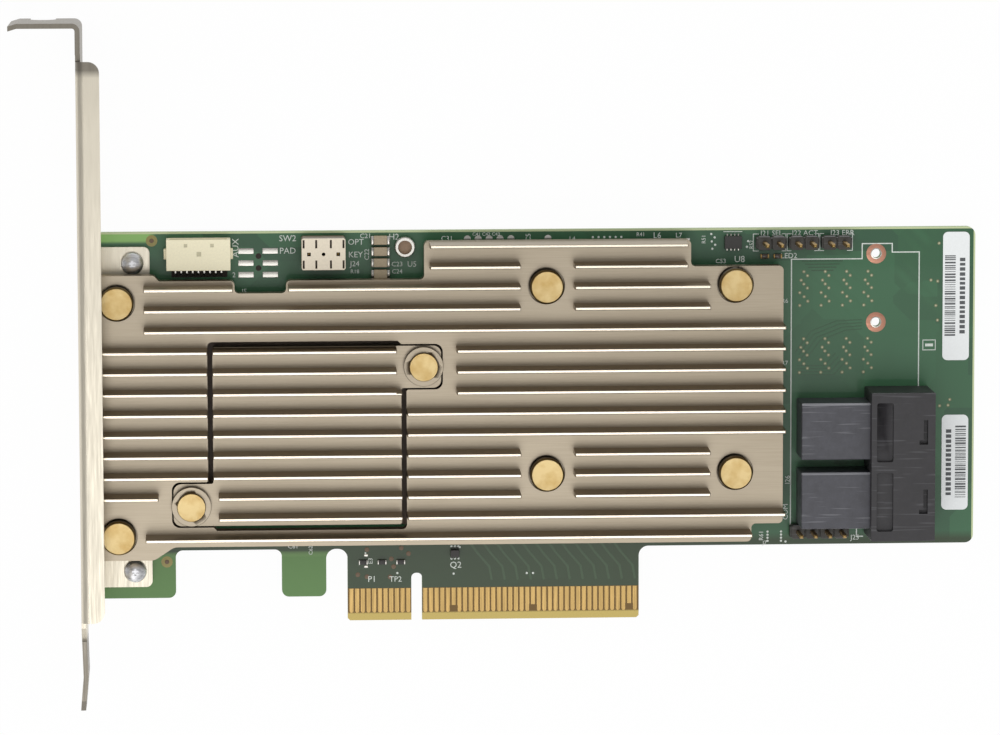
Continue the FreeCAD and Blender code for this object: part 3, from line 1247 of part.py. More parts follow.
def make_labels():
    """Two rounded stickers along the right-hand edge."""
    right = f"({RIGHT} - label_inset)"
    spans = {
        "upper_label": (f"{TOP} - upper_label_drop - upper_label_length", f"{TOP} - upper_label_drop"),
        "lower_label": ("low_edge + lower_label_rise", "low_edge + lower_label_rise + lower_label_length"),
    }
    for name, (low, high) in spans.items():
        label = Piece(name)
        outline = rectangle(f"{right} - label_width", right, low, high, "label_round")
        label.add("XY", "0", "label_thick", outline)


def check_and_write():
    """Recompute, refuse any failed object or shape, and write each piece to its own file."""
    doc.recompute()
    for item in doc.Objects:
        if "Invalid" in item.State or "Error" in item.State:
            raise RuntimeError(f"{item.Label} did not compute: {item.State}")
    for part in PARTS:
        if part.Shape.isNull() or not part.Shape.isValid() or not part.Shape.Solids:
            raise RuntimeError(f"{part.Label} has no valid solid")
    os.makedirs("parts", exist_ok=True)
    for part in PARTS:
        part.Shape.exportStep(f"parts/{part.Label}.step")
        print(f"{part.Label:28} {len(part.Shape.Solids):4} solids {part.Shape.Volume:12.3f} mm3")


make_board()
make_contacts()
make_bracket()
make_bracket_screws()
make_main_heatsink()
make_small_heatsink()
make_pins("main_heatsink", MAIN_PINS)
make_pins("controller_heatsink", SMALL_PINS)
make_controller()
make_heat_sources()
make_data_port()
make_backup_socket()
make_key_header()
make_headers()
make_logic_chip()
make_small_parts()
make_labels()
check_and_write()
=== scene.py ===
"""Looks of a RAID controller card: finishes, fine detail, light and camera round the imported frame.

All measures in this file are millimetres unless a name says otherwise; MM turns them to metres.
"""
import logging
import math
import random
from dataclasses import dataclass
from enum import Enum
from typing import Any, Callable, Sequence

import bmesh
import bpy
from mathutils import Matrix, Vector


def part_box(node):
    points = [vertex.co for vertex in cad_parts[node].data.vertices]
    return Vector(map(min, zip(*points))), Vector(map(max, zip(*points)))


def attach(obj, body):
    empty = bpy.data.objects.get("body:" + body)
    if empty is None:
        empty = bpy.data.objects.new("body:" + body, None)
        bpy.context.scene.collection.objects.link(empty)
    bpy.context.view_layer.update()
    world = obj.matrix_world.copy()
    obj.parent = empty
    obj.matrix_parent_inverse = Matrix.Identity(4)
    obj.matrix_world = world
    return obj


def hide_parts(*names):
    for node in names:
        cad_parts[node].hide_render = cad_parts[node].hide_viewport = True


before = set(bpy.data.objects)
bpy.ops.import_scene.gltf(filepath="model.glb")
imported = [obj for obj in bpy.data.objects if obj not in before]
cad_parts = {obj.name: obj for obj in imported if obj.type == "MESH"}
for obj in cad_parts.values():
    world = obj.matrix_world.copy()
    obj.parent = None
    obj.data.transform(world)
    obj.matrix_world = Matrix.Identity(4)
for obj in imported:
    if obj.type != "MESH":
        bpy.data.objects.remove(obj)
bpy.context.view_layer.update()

MM = 0.001
Point = tuple[float, float]
Piece = bpy.types.Object
log = logging.getLogger("raid_card")


# ---------------------------------------------------------------- modelling bench

def clear() -> None:
    """Leave edit mode and deselect everything."""
    if bpy.context.object is not None and bpy.context.object.mode != "OBJECT":
        bpy.ops.object.mode_set(mode="OBJECT")
    bpy.ops.object.select_all(action="DESELECT")


def take(piece: Piece) -> None:
    """Make one object the only selected and active one."""
    clear()
    piece.select_set(True)
    bpy.context.view_layer.objects.active = piece


def settle(piece: Piece) -> Piece:
    """Move an object's place into its mesh.

    Args:
        piece: the object to settle.
    Returns:
        The same object, at the origin, unturned and unscaled.
    """
    take(piece)
    bpy.ops.object.transform_apply(location=True, rotation=True, scale=True)
    return piece


def apply_modifier(piece: Piece, kind: str, settings: dict[str, Any]) -> None:
    """Add a modifier with its settings and apply it.

    Args:
        piece: the object that is shaped.
        kind: Blender's name of the modifier type.
        settings: its values by field name.
    """
    take(piece)
    modifier = piece.modifiers.new(kind.title(), kind)
    for key, value in settings.items():
        setattr(modifier, key, value)
    bpy.ops.object.modifier_apply(modifier=modifier.name)


def soften(piece: Piece, width: float, segments: int = 2, angle: float = 35.0,
           near: Callable[[Vector, Vector], bool] | None = None) -> Piece:
    """Round the sharp edges and shade the rest smooth.

    Args:
        piece: the object that is rounded.
        width: the size of the rounding.
        segments: how many facets it has.
        angle: the least angle, in degrees, of an edge that is rounded.
        near: where only some edges are rounded, picks them by their two ends in millimetres,
            and the faces stay flat.
    Returns:
        The same object.
    """
    settings = {"width": width * MM, "segments": segments, "limit_method": "ANGLE",
                "angle_limit": math.radians(angle), "use_clamp_overlap": False}
    if near is not None:
        settings["limit_method"] = "WEIGHT"
        mesh = piece.data
        weights = mesh.attributes.new("bevel_weight_edge", "FLOAT", "EDGE")
        for edge in mesh.edges:
            start, end = (mesh.vertices[index].co / MM for index in edge.vertices)
            weights.data[edge.index].value = float(near(start, end))
    apply_modifier(piece, "BEVEL", settings)
    take(piece)
    if near is not None:
        bpy.ops.object.shade_flat()
        return piece
    bpy.ops.object.shade_smooth_by_angle(angle=math.radians(34))
    apply_modifier(piece, "WEIGHTED_NORMAL", {"mode": "FACE_AREA", "weight": 80, "keep_sharp": True})
    return piece


def on_box(low: Vector, high: Vector) -> Callable[[Vector, Vector], bool]:
    """Pick the edges that lie on two of a box's sides, above its floor.

    Args:
        low: the box's lowest corner.
        high: its highest corner.
    Returns:
        The test.
    """
    def test(start: Vector, end: Vector) -> bool:
        """Count the sides, other than the floor, that hold both ends."""
        sides = 0
        for axis in range(3):
            for side in ((high[axis],) if axis == 2 else (low[axis], high[axis])):
                sides += abs(start[axis] - side) < 0.02 and abs(end[axis] - side) < 0.02
        return sides >= 2
    return test


def edit_faces(piece: Piece, test: Callable[[Vector, Vector], bool]) -> None:
    """Enter edit mode with the faces selected that a test picks by centre and normal, in millimetres.

    Args:
        piece: the object that is edited.
        test: says whether a face with that centre and normal is picked.
    """
    take(piece)
    for item in (*piece.data.vertices, *piece.data.edges, *piece.data.polygons):
        item.select = False
    for face in piece.data.polygons:
        face.select = test(face.center / MM, face.normal)
    bpy.ops.object.mode_set(mode="EDIT")
    bpy.ops.mesh.select_mode(type="FACE")


def leave_edit() -> None:
    """Go back to object mode."""
    bpy.ops.object.mode_set(mode="OBJECT")


def inset_move(piece: Piece, test: Callable[[Vector, Vector], bool], inset: float, depth: float) -> None:
    """Inset the picked faces and push them in or out.

    Args:
        piece: the object that is edited.
        test: picks the faces.
        inset: the width of the rim that is left.
        depth: how far the faces move along their normals.
    """
    edit_faces(piece, test)
    bpy.ops.mesh.inset(thickness=inset * MM, depth=depth * MM)
    leave_edit()


def box(name: str, low: Sequence[float], high: Sequence[float]) -> Piece:
    """Start a piece as a block between two corners.

    Args:
        name: the object's name.
        low: the lowest corner.
        high: the highest corner.
    Returns:
        The block, settled.
    """
    clear()
    middle = [(a + b) / 2 * MM for a, b in zip(low, high)]
    bpy.ops.mesh.primitive_cube_add(size=1, location=middle)
    piece = bpy.context.object
    piece.name = name
    piece.scale = [(b - a) * MM for a, b in zip(low, high)]
    return settle(piece)


def turned(name: str, rings: Sequence[Point], sides: int = 48, at: Point = (0, 0)) -> Piece:
    """Turn a piece on the lathe: a disc extruded and widened or narrowed from ring to ring.

    Args:
        name: the object's name.
        rings: radius and height of each ring, from the lowest up.
        sides: the number of facets round it.
        at: X and Y of its axis.
    Returns:
        The closed piece, shaded smooth.
    """
    clear()
    radius, height = rings[0]
    bpy.ops.mesh.primitive_circle_add(vertices=sides, radius=radius * MM, fill_type="NGON",
                                      location=(at[0] * MM, at[1] * MM, height * MM))
    piece = bpy.context.object
    piece.name = name
    bpy.ops.object.mode_set(mode="EDIT")
    bpy.ops.mesh.select_mode(type="FACE")
    for (before, low), (after, high) in zip(rings, rings[1:]):
        bpy.ops.mesh.extrude_region_move(TRANSFORM_OT_translate={"value": (0, 0, (high - low) * MM)})
        share = after / before
        bpy.ops.transform.resize(value=(share, share, 1))
    bpy.ops.mesh.select_all(action="SELECT")
    bpy.ops.mesh.normals_make_consistent(inside=False)
    leave_edit()
    settle(piece)
    bpy.ops.object.shade_smooth_by_angle(angle=math.radians(32))
    return piece


def copied(piece: Piece, name: str, shift: Sequence[float]) -> Piece:
    """Copy a piece with its own mesh.

    Args:
        piece: the model.
        name: the copy's name.
        shift: how far the copy moves.
    Returns:
        The copy.
    """
    copy = piece.copy()
    copy.data = piece.data.copy()
    copy.name = name
    copy.data.transform(Matrix.Translation(Vector(shift) * MM))
    bpy.context.scene.collection.objects.link(copy)
    return copy


def joined(pieces: Sequence[Piece], name: str) -> Piece:
    """Join pieces into one.

    Args:
        pieces: the pieces, of which there is at least one.
        name: the name of the whole.
    Returns:
        The whole.
    """
    take(pieces[0])
    for piece in pieces:
        piece.select_set(True)
    bpy.ops.object.join()
    whole = bpy.context.object
    whole.name = name
    return whole


def cut(piece: Piece, cutter: Piece) -> None:
    """Cut one piece with another, which is used up."""
    apply_modifier(piece, "BOOLEAN", {"operation": "DIFFERENCE", "object": cutter, "solver": "EXACT"})
    bpy.data.objects.remove(cutter)


def drawn_from(node: str, name: str) -> Piece:
    """Model a piece on a CAD node: its faces merged into whole ones, ready for rounded edges.

    Args:
        node: the CAD node.
        name: the new piece's name.
    Returns:
        The new piece, with no material yet.
    """
    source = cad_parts[node]
    piece = bpy.data.objects.new(name, source.data.copy())
    bpy.context.scene.collection.objects.link(piece)
    piece.data.materials.clear()
    take(piece)
    bpy.ops.object.mode_set(mode="EDIT")
    bpy.ops.mesh.select_all(action="SELECT")
    bpy.ops.mesh.remove_doubles(threshold=0.000001)
    bpy.ops.mesh.dissolve_limited(angle_limit=math.radians(0.6))
    leave_edit()
    for key in list(piece.keys()):
        del piece[key]
    return piece


def solids(node: str) -> list[tuple[Vector, Vector]]:
    """Find the boxes of a CAD node's separate solids.

    Args:
        node: the CAD node.
    Returns:
        The lowest and highest corner of each solid in millimetres, from left to right.
    """
    shape = bmesh.new()
    shape.from_mesh(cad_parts[node].data)
    bmesh.ops.remove_doubles(shape, verts=shape.verts, dist=0.000001)
    found, seen = [], set()
    for start in shape.verts:
        if start in seen:
            continue
        island, waiting = [], [start]
        seen.add(start)
        while waiting:
            vertex = waiting.pop()
            island.append(vertex.co / MM)
            for edge in vertex.link_edges:
                other = edge.other_vert(vertex)
                if other not in seen:
                    seen.add(other)
                    waiting.append(other)
        low = Vector([min(co[axis] for co in island) for axis in range(3)])
        high = Vector([max(co[axis] for co in island) for axis in range(3)])
        found.append((low, high))
    shape.free()
    return sorted(found, key=lambda pair: (round(pair[0].x, 2), round(pair[0].y, 2)))


def span(node: str) -> tuple[Vector, Vector]:
    """Give a CAD node's lowest and highest corner in millimetres."""
    low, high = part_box(node)
    return low / MM, high / MM


def dress(piece: Piece, finish: "Finish", slot: str | None = None, stands_for: Sequence[str] = ()) -> Piece:
    """Give a new piece its finish, its body and the nodes that it stands for.

    Args:
        piece: the new piece.
        finish: what its surface is made of.
        slot: not used.
        stands_for: CAD nodes that it replaces.
    Returns:
        The same piece.
    """
    piece.data.materials.clear()
    piece.data.materials.append(finish.material())
    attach(piece, "root")
    if stands_for:
        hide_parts(*stands_for)
    log.info("piece %s: %d faces, finish %s", piece.name, len(piece.data.polygons), finish.name)
    return piece


def dress_node(node: str, finish: "Finish") -> None:
    """Give a CAD node that is shown as it is a better finish.

    Args:
        node: the CAD node.
        finish: what its surface is made of.
    """
    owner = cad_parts[node]
    for index in range(len(owner.material_slots)):
        owner.material_slots[index].material = finish.material()
    log.info("node %s keeps its shape, finish %s", node, finish.name)


# ---------------------------------------------------------------- finishes

def linear(code: str) -> tuple[float, float, float, float]:
    """Turn an sRGB hex code into linear colour.

    Args:
        code: six hex digits after a hash sign.
    Returns:
        Red, green, blue and an alpha of 1.
    """
    shares = [int(code[start:start + 2], 16) / 255 for start in (1, 3, 5)]
    parts = [share / 12.92 if share <= 0.04045 else ((share + 0.055) / 1.055) ** 2.4 for share in shares]
    return (*parts, 1.0)


def add_node(tree: bpy.types.NodeTree, kind: str, settings: dict[Any, Any] | None = None,
             links: dict[Any, Any] | None = None) -> bpy.types.Node:
    """Add one node with its settings and links.

    Args:
        tree: the node tree that it joins.
        kind: Blender's type name of the node, without its common beginning.
        settings: fields, or values of inputs by name or number; "stops" are a ramp's places and colours.
        links: outputs, or nodes for their first output, by the name or number of the input they feed.
    Returns:
        The new node.
    """
    node = tree.nodes.new("ShaderNode" + kind)
    for key, value in (settings or {}).items():
        if key == "stops":
            ramp = node.color_ramp
            while len(ramp.elements) < len(value):
                ramp.elements.new(0.5)
            for element, (place, colour) in zip(ramp.elements, value):
                element.position = place
                element.color = colour
        elif isinstance(key, str) and hasattr(node, key):
            setattr(node, key, value)
        else:
            node.inputs[key].default_value = value
    for key, source in (links or {}).items():
        output = source.outputs[0] if isinstance(source, bpy.types.Node) else source
        tree.links.new(output, node.inputs[key])
    return node


def per_mm(size: float) -> float:
    """Give the scale of a pattern whose repeat is this many millimetres on Object coordinates."""
    return 1.0 / (size * MM)


@dataclass(frozen=True)
class Finish:
    """A surface with its colour and shine; each kind below adds its own detail."""

    name: str
    colour: str
    roughness: float
    metallic: float = 0.0
    ior: float = 1.5
    coat: float = 0.0
    shade: float = 0.86

    def material(self) -> bpy.types.Material:
        """Build the material once, and give the same one after that."""
        known = bpy.data.materials.get(self.name)
        if known is not None:
            return known
        made = bpy.data.materials.new(self.name)
        made.use_nodes = True
        tree = made.node_tree
        shader = tree.nodes["Principled BSDF"]
        shader.inputs["Base Color"].default_value = linear(self.colour)
        shader.inputs["Roughness"].default_value = self.roughness
        shader.inputs["Metallic"].default_value = self.metallic
        if self.metallic == 0.0:
            shader.inputs["IOR"].default_value = self.ior
        shader.inputs["Coat Weight"].default_value = self.coat
        place = add_node(tree, "TexCoord").outputs["Object"]
        self.detail(tree, shader, place)
        return made

    def detail(self, tree: bpy.types.NodeTree, shader: bpy.types.Node, place: bpy.types.NodeSocket) -> None:
        """Add the finish's own pattern; the plain kind is a fine moulded grain.

        Args:
            tree: the material's node tree.
            shader: its main shader.
            place: the Object coordinates.
        """
        noise = add_node(tree, "TexNoise", {"Scale": per_mm(0.35), "Detail": 4.0}, {"Vector": place})
        light = linear(self.colour)
        dark = (*[part * self.shade for part in light[:3]], 1.0)
        ramp = add_node(tree, "ValToRGB", {"stops": [(0.35, dark), (0.65, light)]},
                        {"Fac": noise})
        self.tint(tree, shader, ramp.outputs["Color"])
        self.relief(tree, shader, noise, (0.8, 1.2), noise, 0.08)

    def tint(self, tree: bpy.types.NodeTree, shader: bpy.types.Node, colour: bpy.types.NodeSocket) -> None:
        """Feed the shader its colour."""
        tree.links.new(colour, shader.inputs["Base Color"])

    def relief(self, tree: bpy.types.NodeTree, shader: bpy.types.Node, gloss: bpy.types.Node,
               shares: tuple[float, float], height: bpy.types.Node, strength: float,
               within: tuple[float, float] = (0.0, 1.0), deep: float = 0.02) -> None:
        """Vary the shine and raise the surface a little.

        Args:
            tree: the material's node tree.
            shader: its main shader.
            gloss: the pattern that the shine follows.
            shares: the roughness where that pattern is lowest and highest, as shares of the finish's own.
            height: the pattern that the surface follows.
            strength: how strongly it is raised.
            within: the lowest and highest value of the gloss pattern that count.
            deep: the height of the pattern in millimetres.
        """
        rough = add_node(tree, "MapRange", {"From Min": within[0], "From Max": within[1],
                                            "To Min": self.roughness * shares[0],
                                            "To Max": min(1.0, self.roughness * shares[1])}, {"Value": gloss})
        tree.links.new(rough.outputs["Result"], shader.inputs["Roughness"])
        raised = add_node(tree, "Bump", {"Strength": strength, "Distance": deep * MM}, {"Height": height})
        tree.links.new(raised.outputs["Normal"], shader.inputs["Normal"])


class Grain(Enum):
    """The way that drawing, rolling or brushing marks run."""

    ALONG_X = (0.04, 1.0, 1.0)
    ALONG_Y = (1.0, 0.04, 1.0)


@dataclass(frozen=True)
class DrawnMetal(Finish):
    """Sheet, bar or extruded metal: fine lines along the way it was drawn, and soft cloudy stains."""

    grain: Grain = Grain.ALONG_X
    line: float = 0.12
    deep: str = "#8A7C66"
    bump: float = 0.05

    def detail(self, tree: bpy.types.NodeTree, shader: bpy.types.Node, place: bpy.types.NodeSocket) -> None:
        """Stretch one noise along the grain and lay a slow cloud over it."""
        stretched = add_node(tree, "VectorMath", {"operation": "MULTIPLY", 1: self.grain.value},
                             {0: place})
        lines = add_node(tree, "TexNoise", {"Scale": per_mm(self.line), "Detail": 3.0},
                         {"Vector": stretched})
        cloud = add_node(tree, "TexNoise", {"Scale": per_mm(14), "Detail": 2.0}, {"Vector": place})
        blend = add_node(tree, "Mix", {"data_type": "FLOAT", 0: 0.35},
                         {2: lines, 3: cloud})
        ramp = add_node(tree, "ValToRGB",
                        {"stops": [(0.30, linear(self.deep)), (0.56, linear(self.colour))]},
                        {"Fac": blend})
        self.tint(tree, shader, ramp.outputs["Color"])
        self.relief(tree, shader, lines, (0.75, 1.25), lines, self.bump, within=(0.3, 0.7))


@dataclass(frozen=True)
class FinnedAluminium(Finish):
    """Extruded aluminium with a champagne nickel coat: painted shade, brown, on the fin sides, and polished
    crests with a painted highlight.
    """

    # painted highlight colour for the fin tops
    crest: str = "#FFF3DE"
    streak: str = "#A89C89"
    # painted shade colour for the fin sides
    foot_shade: str = "#A8977E"
    crest_z: float = 10.5
    polished: float = 0.24

    def detail(self, tree: bpy.types.NodeTree, shader: bpy.types.Node, place: bpy.types.NodeSocket) -> None:
        """Draw extrusion lines along X, paint shade on the fin sides and paint a highlight on the crests."""
        parts = add_node(tree, "SeparateXYZ", links={"Vector": place})
        stretched = add_node(tree, "VectorMath", {"operation": "MULTIPLY", 1: (0.02, 1.0, 1.0)},
                             {0: place})
        lines = add_node(tree, "TexNoise", {"Scale": per_mm(0.16), "Detail": 3.0},
                         {"Vector": stretched})
        cloud = add_node(tree, "TexNoise", {"Scale": per_mm(22), "Detail": 3.0}, {"Vector": place})
        body = add_node(tree, "Mix", {"data_type": "FLOAT", 0: 0.4},
                        {2: lines, 3: cloud})
        plate = add_node(tree, "ValToRGB",
                         {"stops": [(0.28, linear(self.streak)), (0.62, linear(self.colour))]},
                         {"Fac": body})
        # painted shade: faces that face along Y, the fin sides, take the darker brown
        facing = add_node(tree, "NewGeometry").outputs["Normal"]
        tilt = add_node(tree, "SeparateXYZ", links={"Vector": facing})
        side = add_node(tree, "Math", {"operation": "ABSOLUTE"}, {0: tilt.outputs["Y"]})
        wall_shade = add_node(tree, "MapRange", {"From Min": 0.8, "From Max": 0.95, "To Max": 0.6},
                        {"Value": side})
        with_wall_shade = add_node(tree, "Mix", {"data_type": "RGBA", 7: linear(self.foot_shade)},
                         {0: wall_shade, 6: plate})
        # painted highlight: the fin tops take the near-white crest colour; they are also less rough
        top = add_node(tree, "MapRange",
                       {"From Min": (self.crest_z - 0.06) * MM, "From Max": (self.crest_z - 0.005) * MM},
                       {"Value": parts.outputs["Z"]})
        whole = add_node(tree, "Mix", {"data_type": "RGBA", 7: linear(self.crest)},
                         {0: top, 6: with_wall_shade.outputs[2]})
        self.tint(tree, shader, whole.outputs[2])
        self.relief(tree, shader, top, (1.0, self.polished / self.roughness), lines, 0.08)


@dataclass(frozen=True)
class TurnedBrass(Finish):
    """Brass bar turned on a lathe: a handled, softly mottled face, and painted shade on the flanks below it.
    """

    # painted shade colour for the flanks below the face
    flank_shade: str = "#77643F"
    face_z: float = 8.0

    def detail(self, tree: bpy.types.NodeTree, shader: bpy.types.Node, place: bpy.types.NodeSocket) -> None:
        """Mottle the face as handled brass is, a millimetre or so across, with fine pits, and paint shade
        below the face.
        """
        cloud = add_node(tree, "TexNoise", {"Scale": per_mm(2.2), "Detail": 4.0}, {"Vector": place})
        pits = add_node(tree, "TexNoise", {"Scale": per_mm(0.25), "Detail": 2.0}, {"Vector": place})
        ramp = add_node(tree, "ValToRGB",
                        {"stops": [(0.32, linear("#C5A66C")), (0.62, linear(self.colour))]},
                        {"Fac": cloud})
        parts = add_node(tree, "SeparateXYZ", links={"Vector": place})
        # painted shade: all below the face takes the dark flank colour
        face = add_node(tree, "MapRange",
                        {"From Min": (self.face_z - 0.16) * MM, "From Max": (self.face_z - 0.08) * MM},
                        {"Value": parts.outputs["Z"]})
        whole = add_node(tree, "Mix", {"data_type": "RGBA", 6: linear(self.flank_shade)},
                         {0: face, 7: ramp})
        self.tint(tree, shader, whole.outputs[2])
        self.relief(tree, shader, pits, (0.7, 1.3), pits, 0.10)


@dataclass(frozen=True)
class SolderMask(Finish):
    """Glass-epoxy laminate under glossy green mask: copper planes and buried traces show as greens."""

    clear_green: str = "#8CBD68"
    tab_green: str = "#56803F"
    tongue_green: str = "#2C3A1C"
    bare: str = "#C2AC62"
    scorched: str = "#745828"
    routed: str = "#C3CF9F"
    rim: str = "#A9BE8E"
    matt: float = 0.7

    def detail(self, tree: bpy.types.NodeTree, shader: bpy.types.Node, place: bpy.types.NodeSocket) -> None:
        """Lay out the copper areas, the see-through strips, the bare fingers and the sawn edges."""
        parts = add_node(tree, "SeparateXYZ", links={"Vector": place})
        # copper areas: big cells a shade apart, as planes and pours are, with straight borders
        cells = add_node(tree, "TexVoronoi", {"distance": "CHEBYCHEV", "Scale": per_mm(11)},
                         {"Vector": place})
        tone = add_node(tree, "SeparateColor", links={"Color": cells.outputs["Color"]})
        # buried traces: slanting bands half a millimetre apart, seen only where a slow noise is high
        slant = add_node(tree, "TexWave",
                         {"wave_type": "BANDS", "bands_direction": "DIAGONAL", "Scale": per_mm(5.6),
                          "Distortion": 0.0}, {"Vector": place})
        where = add_node(tree, "TexNoise", {"Scale": per_mm(13), "Detail": 1.0}, {"Vector": place})
        seen = add_node(tree, "MapRange", {"From Min": 0.52, "From Max": 0.60},
                        {"Value": where})
        trace = add_node(tree, "Math", {"operation": "MULTIPLY"},
                         {0: slant.outputs["Fac"], 1: seen})
        shade = add_node(tree, "Math", {"operation": "MULTIPLY_ADD", 1: 0.45},
                         {0: trace, 2: tone.outputs["Red"]})
        green = add_node(tree, "ValToRGB",
                         {"stops": [(0.0, linear("#2B563A")), (0.55, linear(self.colour)),
                                    (1.0, linear("#346643"))]},
                         {"Fac": shade})
        corner = span("circuit_board")[1]
        # zones that fade in between two places on an axis, and the share that each reaches
        fades = {name: add_node(tree, "MapRange", {"From Min": none * MM, "From Max": full * MM,
                                                   "To Max": most}, {"Value": parts.outputs[axis]})
                 for name, axis, none, full, most in (
                     ("tab_height", "Y", 12.6, 11.4, 1.0), ("strip_height", "Y", 66.9, 67.4, 1.0),
                     ("strip_end", "X", -45.2, -46.6, 1.0), ("tongue_shade", "Y", 15.0, 13.6, 0.85),
                     ("between_contacts", "Y", 1.2, 1.5, 1.0))}
        # zones with a sharp end
        sides = {name: add_node(tree, "Math", {"operation": side, 1: place_mm * MM}, {0: parts.outputs[axis]})
                 for name, axis, side, place_mm in (
                     ("tab_end", "X", "LESS_THAN", -14.5), ("contact_height", "Y", "LESS_THAN", 5.75),
                     ("contact_start", "X", "GREATER_THAN", -13.0),
                     ("rim_top", "Y", "GREATER_THAN", corner.y - 0.32),
                     ("rim_right", "X", "GREATER_THAN", corner.x - 0.3))}
        # tabs and strip without copper, which let light through, and bare laminate at the contacts
        both = {name: add_node(tree, "Math", {"operation": "MULTIPLY"}, {0: first, 1: second})
                for name, first, second in (("tabs", fades["tab_height"], sides["tab_end"]),
                                            ("strip", fades["strip_height"], fades["strip_end"]),
                                            ("bare", sides["contact_height"], sides["contact_start"]))}
        open_area = add_node(tree, "Math", {"operation": "MAXIMUM"}, {0: both["tabs"], 1: both["strip"]})
        # the tongue has ground planes under it, so it is duller
        dull_green = add_node(tree, "Mix", {"data_type": "RGBA", 7: linear(self.tongue_green)},
                              {0: fades["tongue_shade"], 6: green})
        clear = add_node(tree, "Mix", {"data_type": "RGBA", 6: linear(self.clear_green),
                                       7: linear(self.tab_green)}, {0: both["tabs"]})
        masked = add_node(tree, "Mix", {"data_type": "RGBA"},
                          {0: open_area, 6: dull_green.outputs[2], 7: clear.outputs[2]})
        raw = add_node(tree, "Mix", {"data_type": "RGBA", 6: linear(self.bare), 7: linear(self.scorched)},
                       {0: fades["between_contacts"]})
        face = add_node(tree, "Mix", {"data_type": "RGBA"},
                        {0: both["bare"], 6: masked.outputs[2], 7: raw.outputs[2]})
        # a narrow routed rim along the top and right edges, where the mask stops short
        rim = add_node(tree, "Math", {"operation": "MAXIMUM"}, {0: sides["rim_top"], 1: sides["rim_right"]})
        face = add_node(tree, "Mix", {"data_type": "RGBA", 7: linear(self.routed)},
                        {0: rim, 6: face.outputs[2]})
        # sawn edges: pale glass weave
        facing = add_node(tree, "NewGeometry").outputs["Normal"]
        tilt = add_node(tree, "SeparateXYZ", links={"Vector": facing})
        up = add_node(tree, "Math", {"operation": "ABSOLUTE"}, {0: tilt.outputs["Z"]})
        edge = add_node(tree, "Math", {"operation": "LESS_THAN", 1: 0.5}, {0: up})
        whole = add_node(tree, "Mix", {"data_type": "RGBA", 7: linear(self.rim)},
                         {0: edge, 6: face.outputs[2]})
        self.tint(tree, shader, whole.outputs[2])
        dull = add_node(tree, "Math", {"operation": "MAXIMUM"}, {0: edge, 1: both["bare"]})
        weave = add_node(tree, "TexNoise", {"Scale": per_mm(0.6), "Detail": 2.0}, {"Vector": place})
        level = add_node(tree, "Math", {"operation": "MULTIPLY_ADD", 1: 0.3},
                         {0: weave, 2: trace})
        self.relief(tree, shader, dull, (1.0, self.matt / self.roughness), level, 0.15, deep=0.035)


@dataclass(frozen=True)
class ScuffedPlastic(Finish):
    """Moulded glass-filled nylon: a sparkled skin with hair-thin pale scratches from handling, and a painted
    highlight on facets that face up and towards +Y.
    """

    # pale colour shared by the scratches and the painted highlight
    scratch_and_glint: str = "#A2A3A8"
    amount: float = 0.25

    def detail(self, tree: bpy.types.NodeTree, shader: bpy.types.Node, place: bpy.types.NodeSocket) -> None:
        """Lay thin crossing scratches over a mottled skin, and paint a pale highlight on the facets that face
        up and towards +Y.
        """
        skin = add_node(tree, "TexNoise", {"Scale": per_mm(1.6), "Detail": 6.0, "Roughness": 0.65},
                        {"Vector": place})
        light = linear(self.colour)
        dark = (*[part * 0.72 for part in light[:3]], 1.0)
        base = add_node(tree, "ValToRGB", {"stops": [(0.35, dark), (0.65, light)]},
                        {"Fac": skin})
        amount = None
        for angle in (24.0, -58.0):
            turned_place = add_node(tree, "Mapping",
                                    {"Rotation": (0, 0, math.radians(angle)), "Scale": (0.05, 1.0, 1.0)},
                                    {"Vector": place})
            hair = add_node(tree, "TexNoise", {"Scale": per_mm(0.45), "Detail": 1.0},
                            {"Vector": turned_place})
            thin = add_node(tree, "MapRange", {"From Min": 0.66, "From Max": 0.72},
                            {"Value": hair})
            amount = thin.outputs["Result"] if amount is None else add_node(
                tree, "Math", {"operation": "MAXIMUM"},
                {0: amount, 1: thin}).outputs[0]
        share = add_node(tree, "Math", {"operation": "MULTIPLY", 1: self.amount}, {0: amount})
        # painted highlight: facets tilted between up and +Y take the pale colour, as a rounded upper rim
        # catching light would
        facing = add_node(tree, "NewGeometry").outputs["True Normal"]
        tilt = add_node(tree, "SeparateXYZ", links={"Vector": facing})
        slope = add_node(tree, "Math", {"operation": "MULTIPLY"},
                         {0: tilt.outputs["Y"], 1: tilt.outputs["Z"]})
        edge_glint = add_node(tree, "MapRange", {"From Min": 0.25, "From Max": 0.35, "To Max": 0.8},
                          {"Value": slope})
        share = add_node(tree, "Math", {"operation": "MAXIMUM"},
                         {0: share, 1: edge_glint})
        whole = add_node(tree, "Mix", {"data_type": "RGBA", 7: linear(self.scratch_and_glint)},
                         {0: share, 6: base})
        self.tint(tree, shader, whole.outputs[2])
        self.relief(tree, shader, skin, (0.8, 1.2), skin, 0.12)


@dataclass(frozen=True)
class SlottedNylon(Finish):
    """Moulded nylon whose slots and flanks fall off into brown shade below its top face."""

    deep: str = "#6E5C46"
    top_z: float = 6.0

    def detail(self, tree: bpy.types.NodeTree, shader: bpy.types.Node, place: bpy.types.NodeSocket) -> None:
        """Keep the moulded grain on top and darken what lies deeper."""
        super().detail(tree, shader, place)
        parts = add_node(tree, "SeparateXYZ", links={"Vector": place})
        depth = add_node(tree, "MapRange",
                         {"From Min": (self.top_z - 0.9) * MM, "From Max": (self.top_z - 0.1) * MM},
                         {"Value": parts.outputs["Z"]})
        skin = shader.inputs["Base Color"].links[0].from_socket
        whole = add_node(tree, "Mix", {"data_type": "RGBA", 6: linear(self.deep)},
                         {0: depth, 7: skin})
        self.tint(tree, shader, whole.outputs[2])


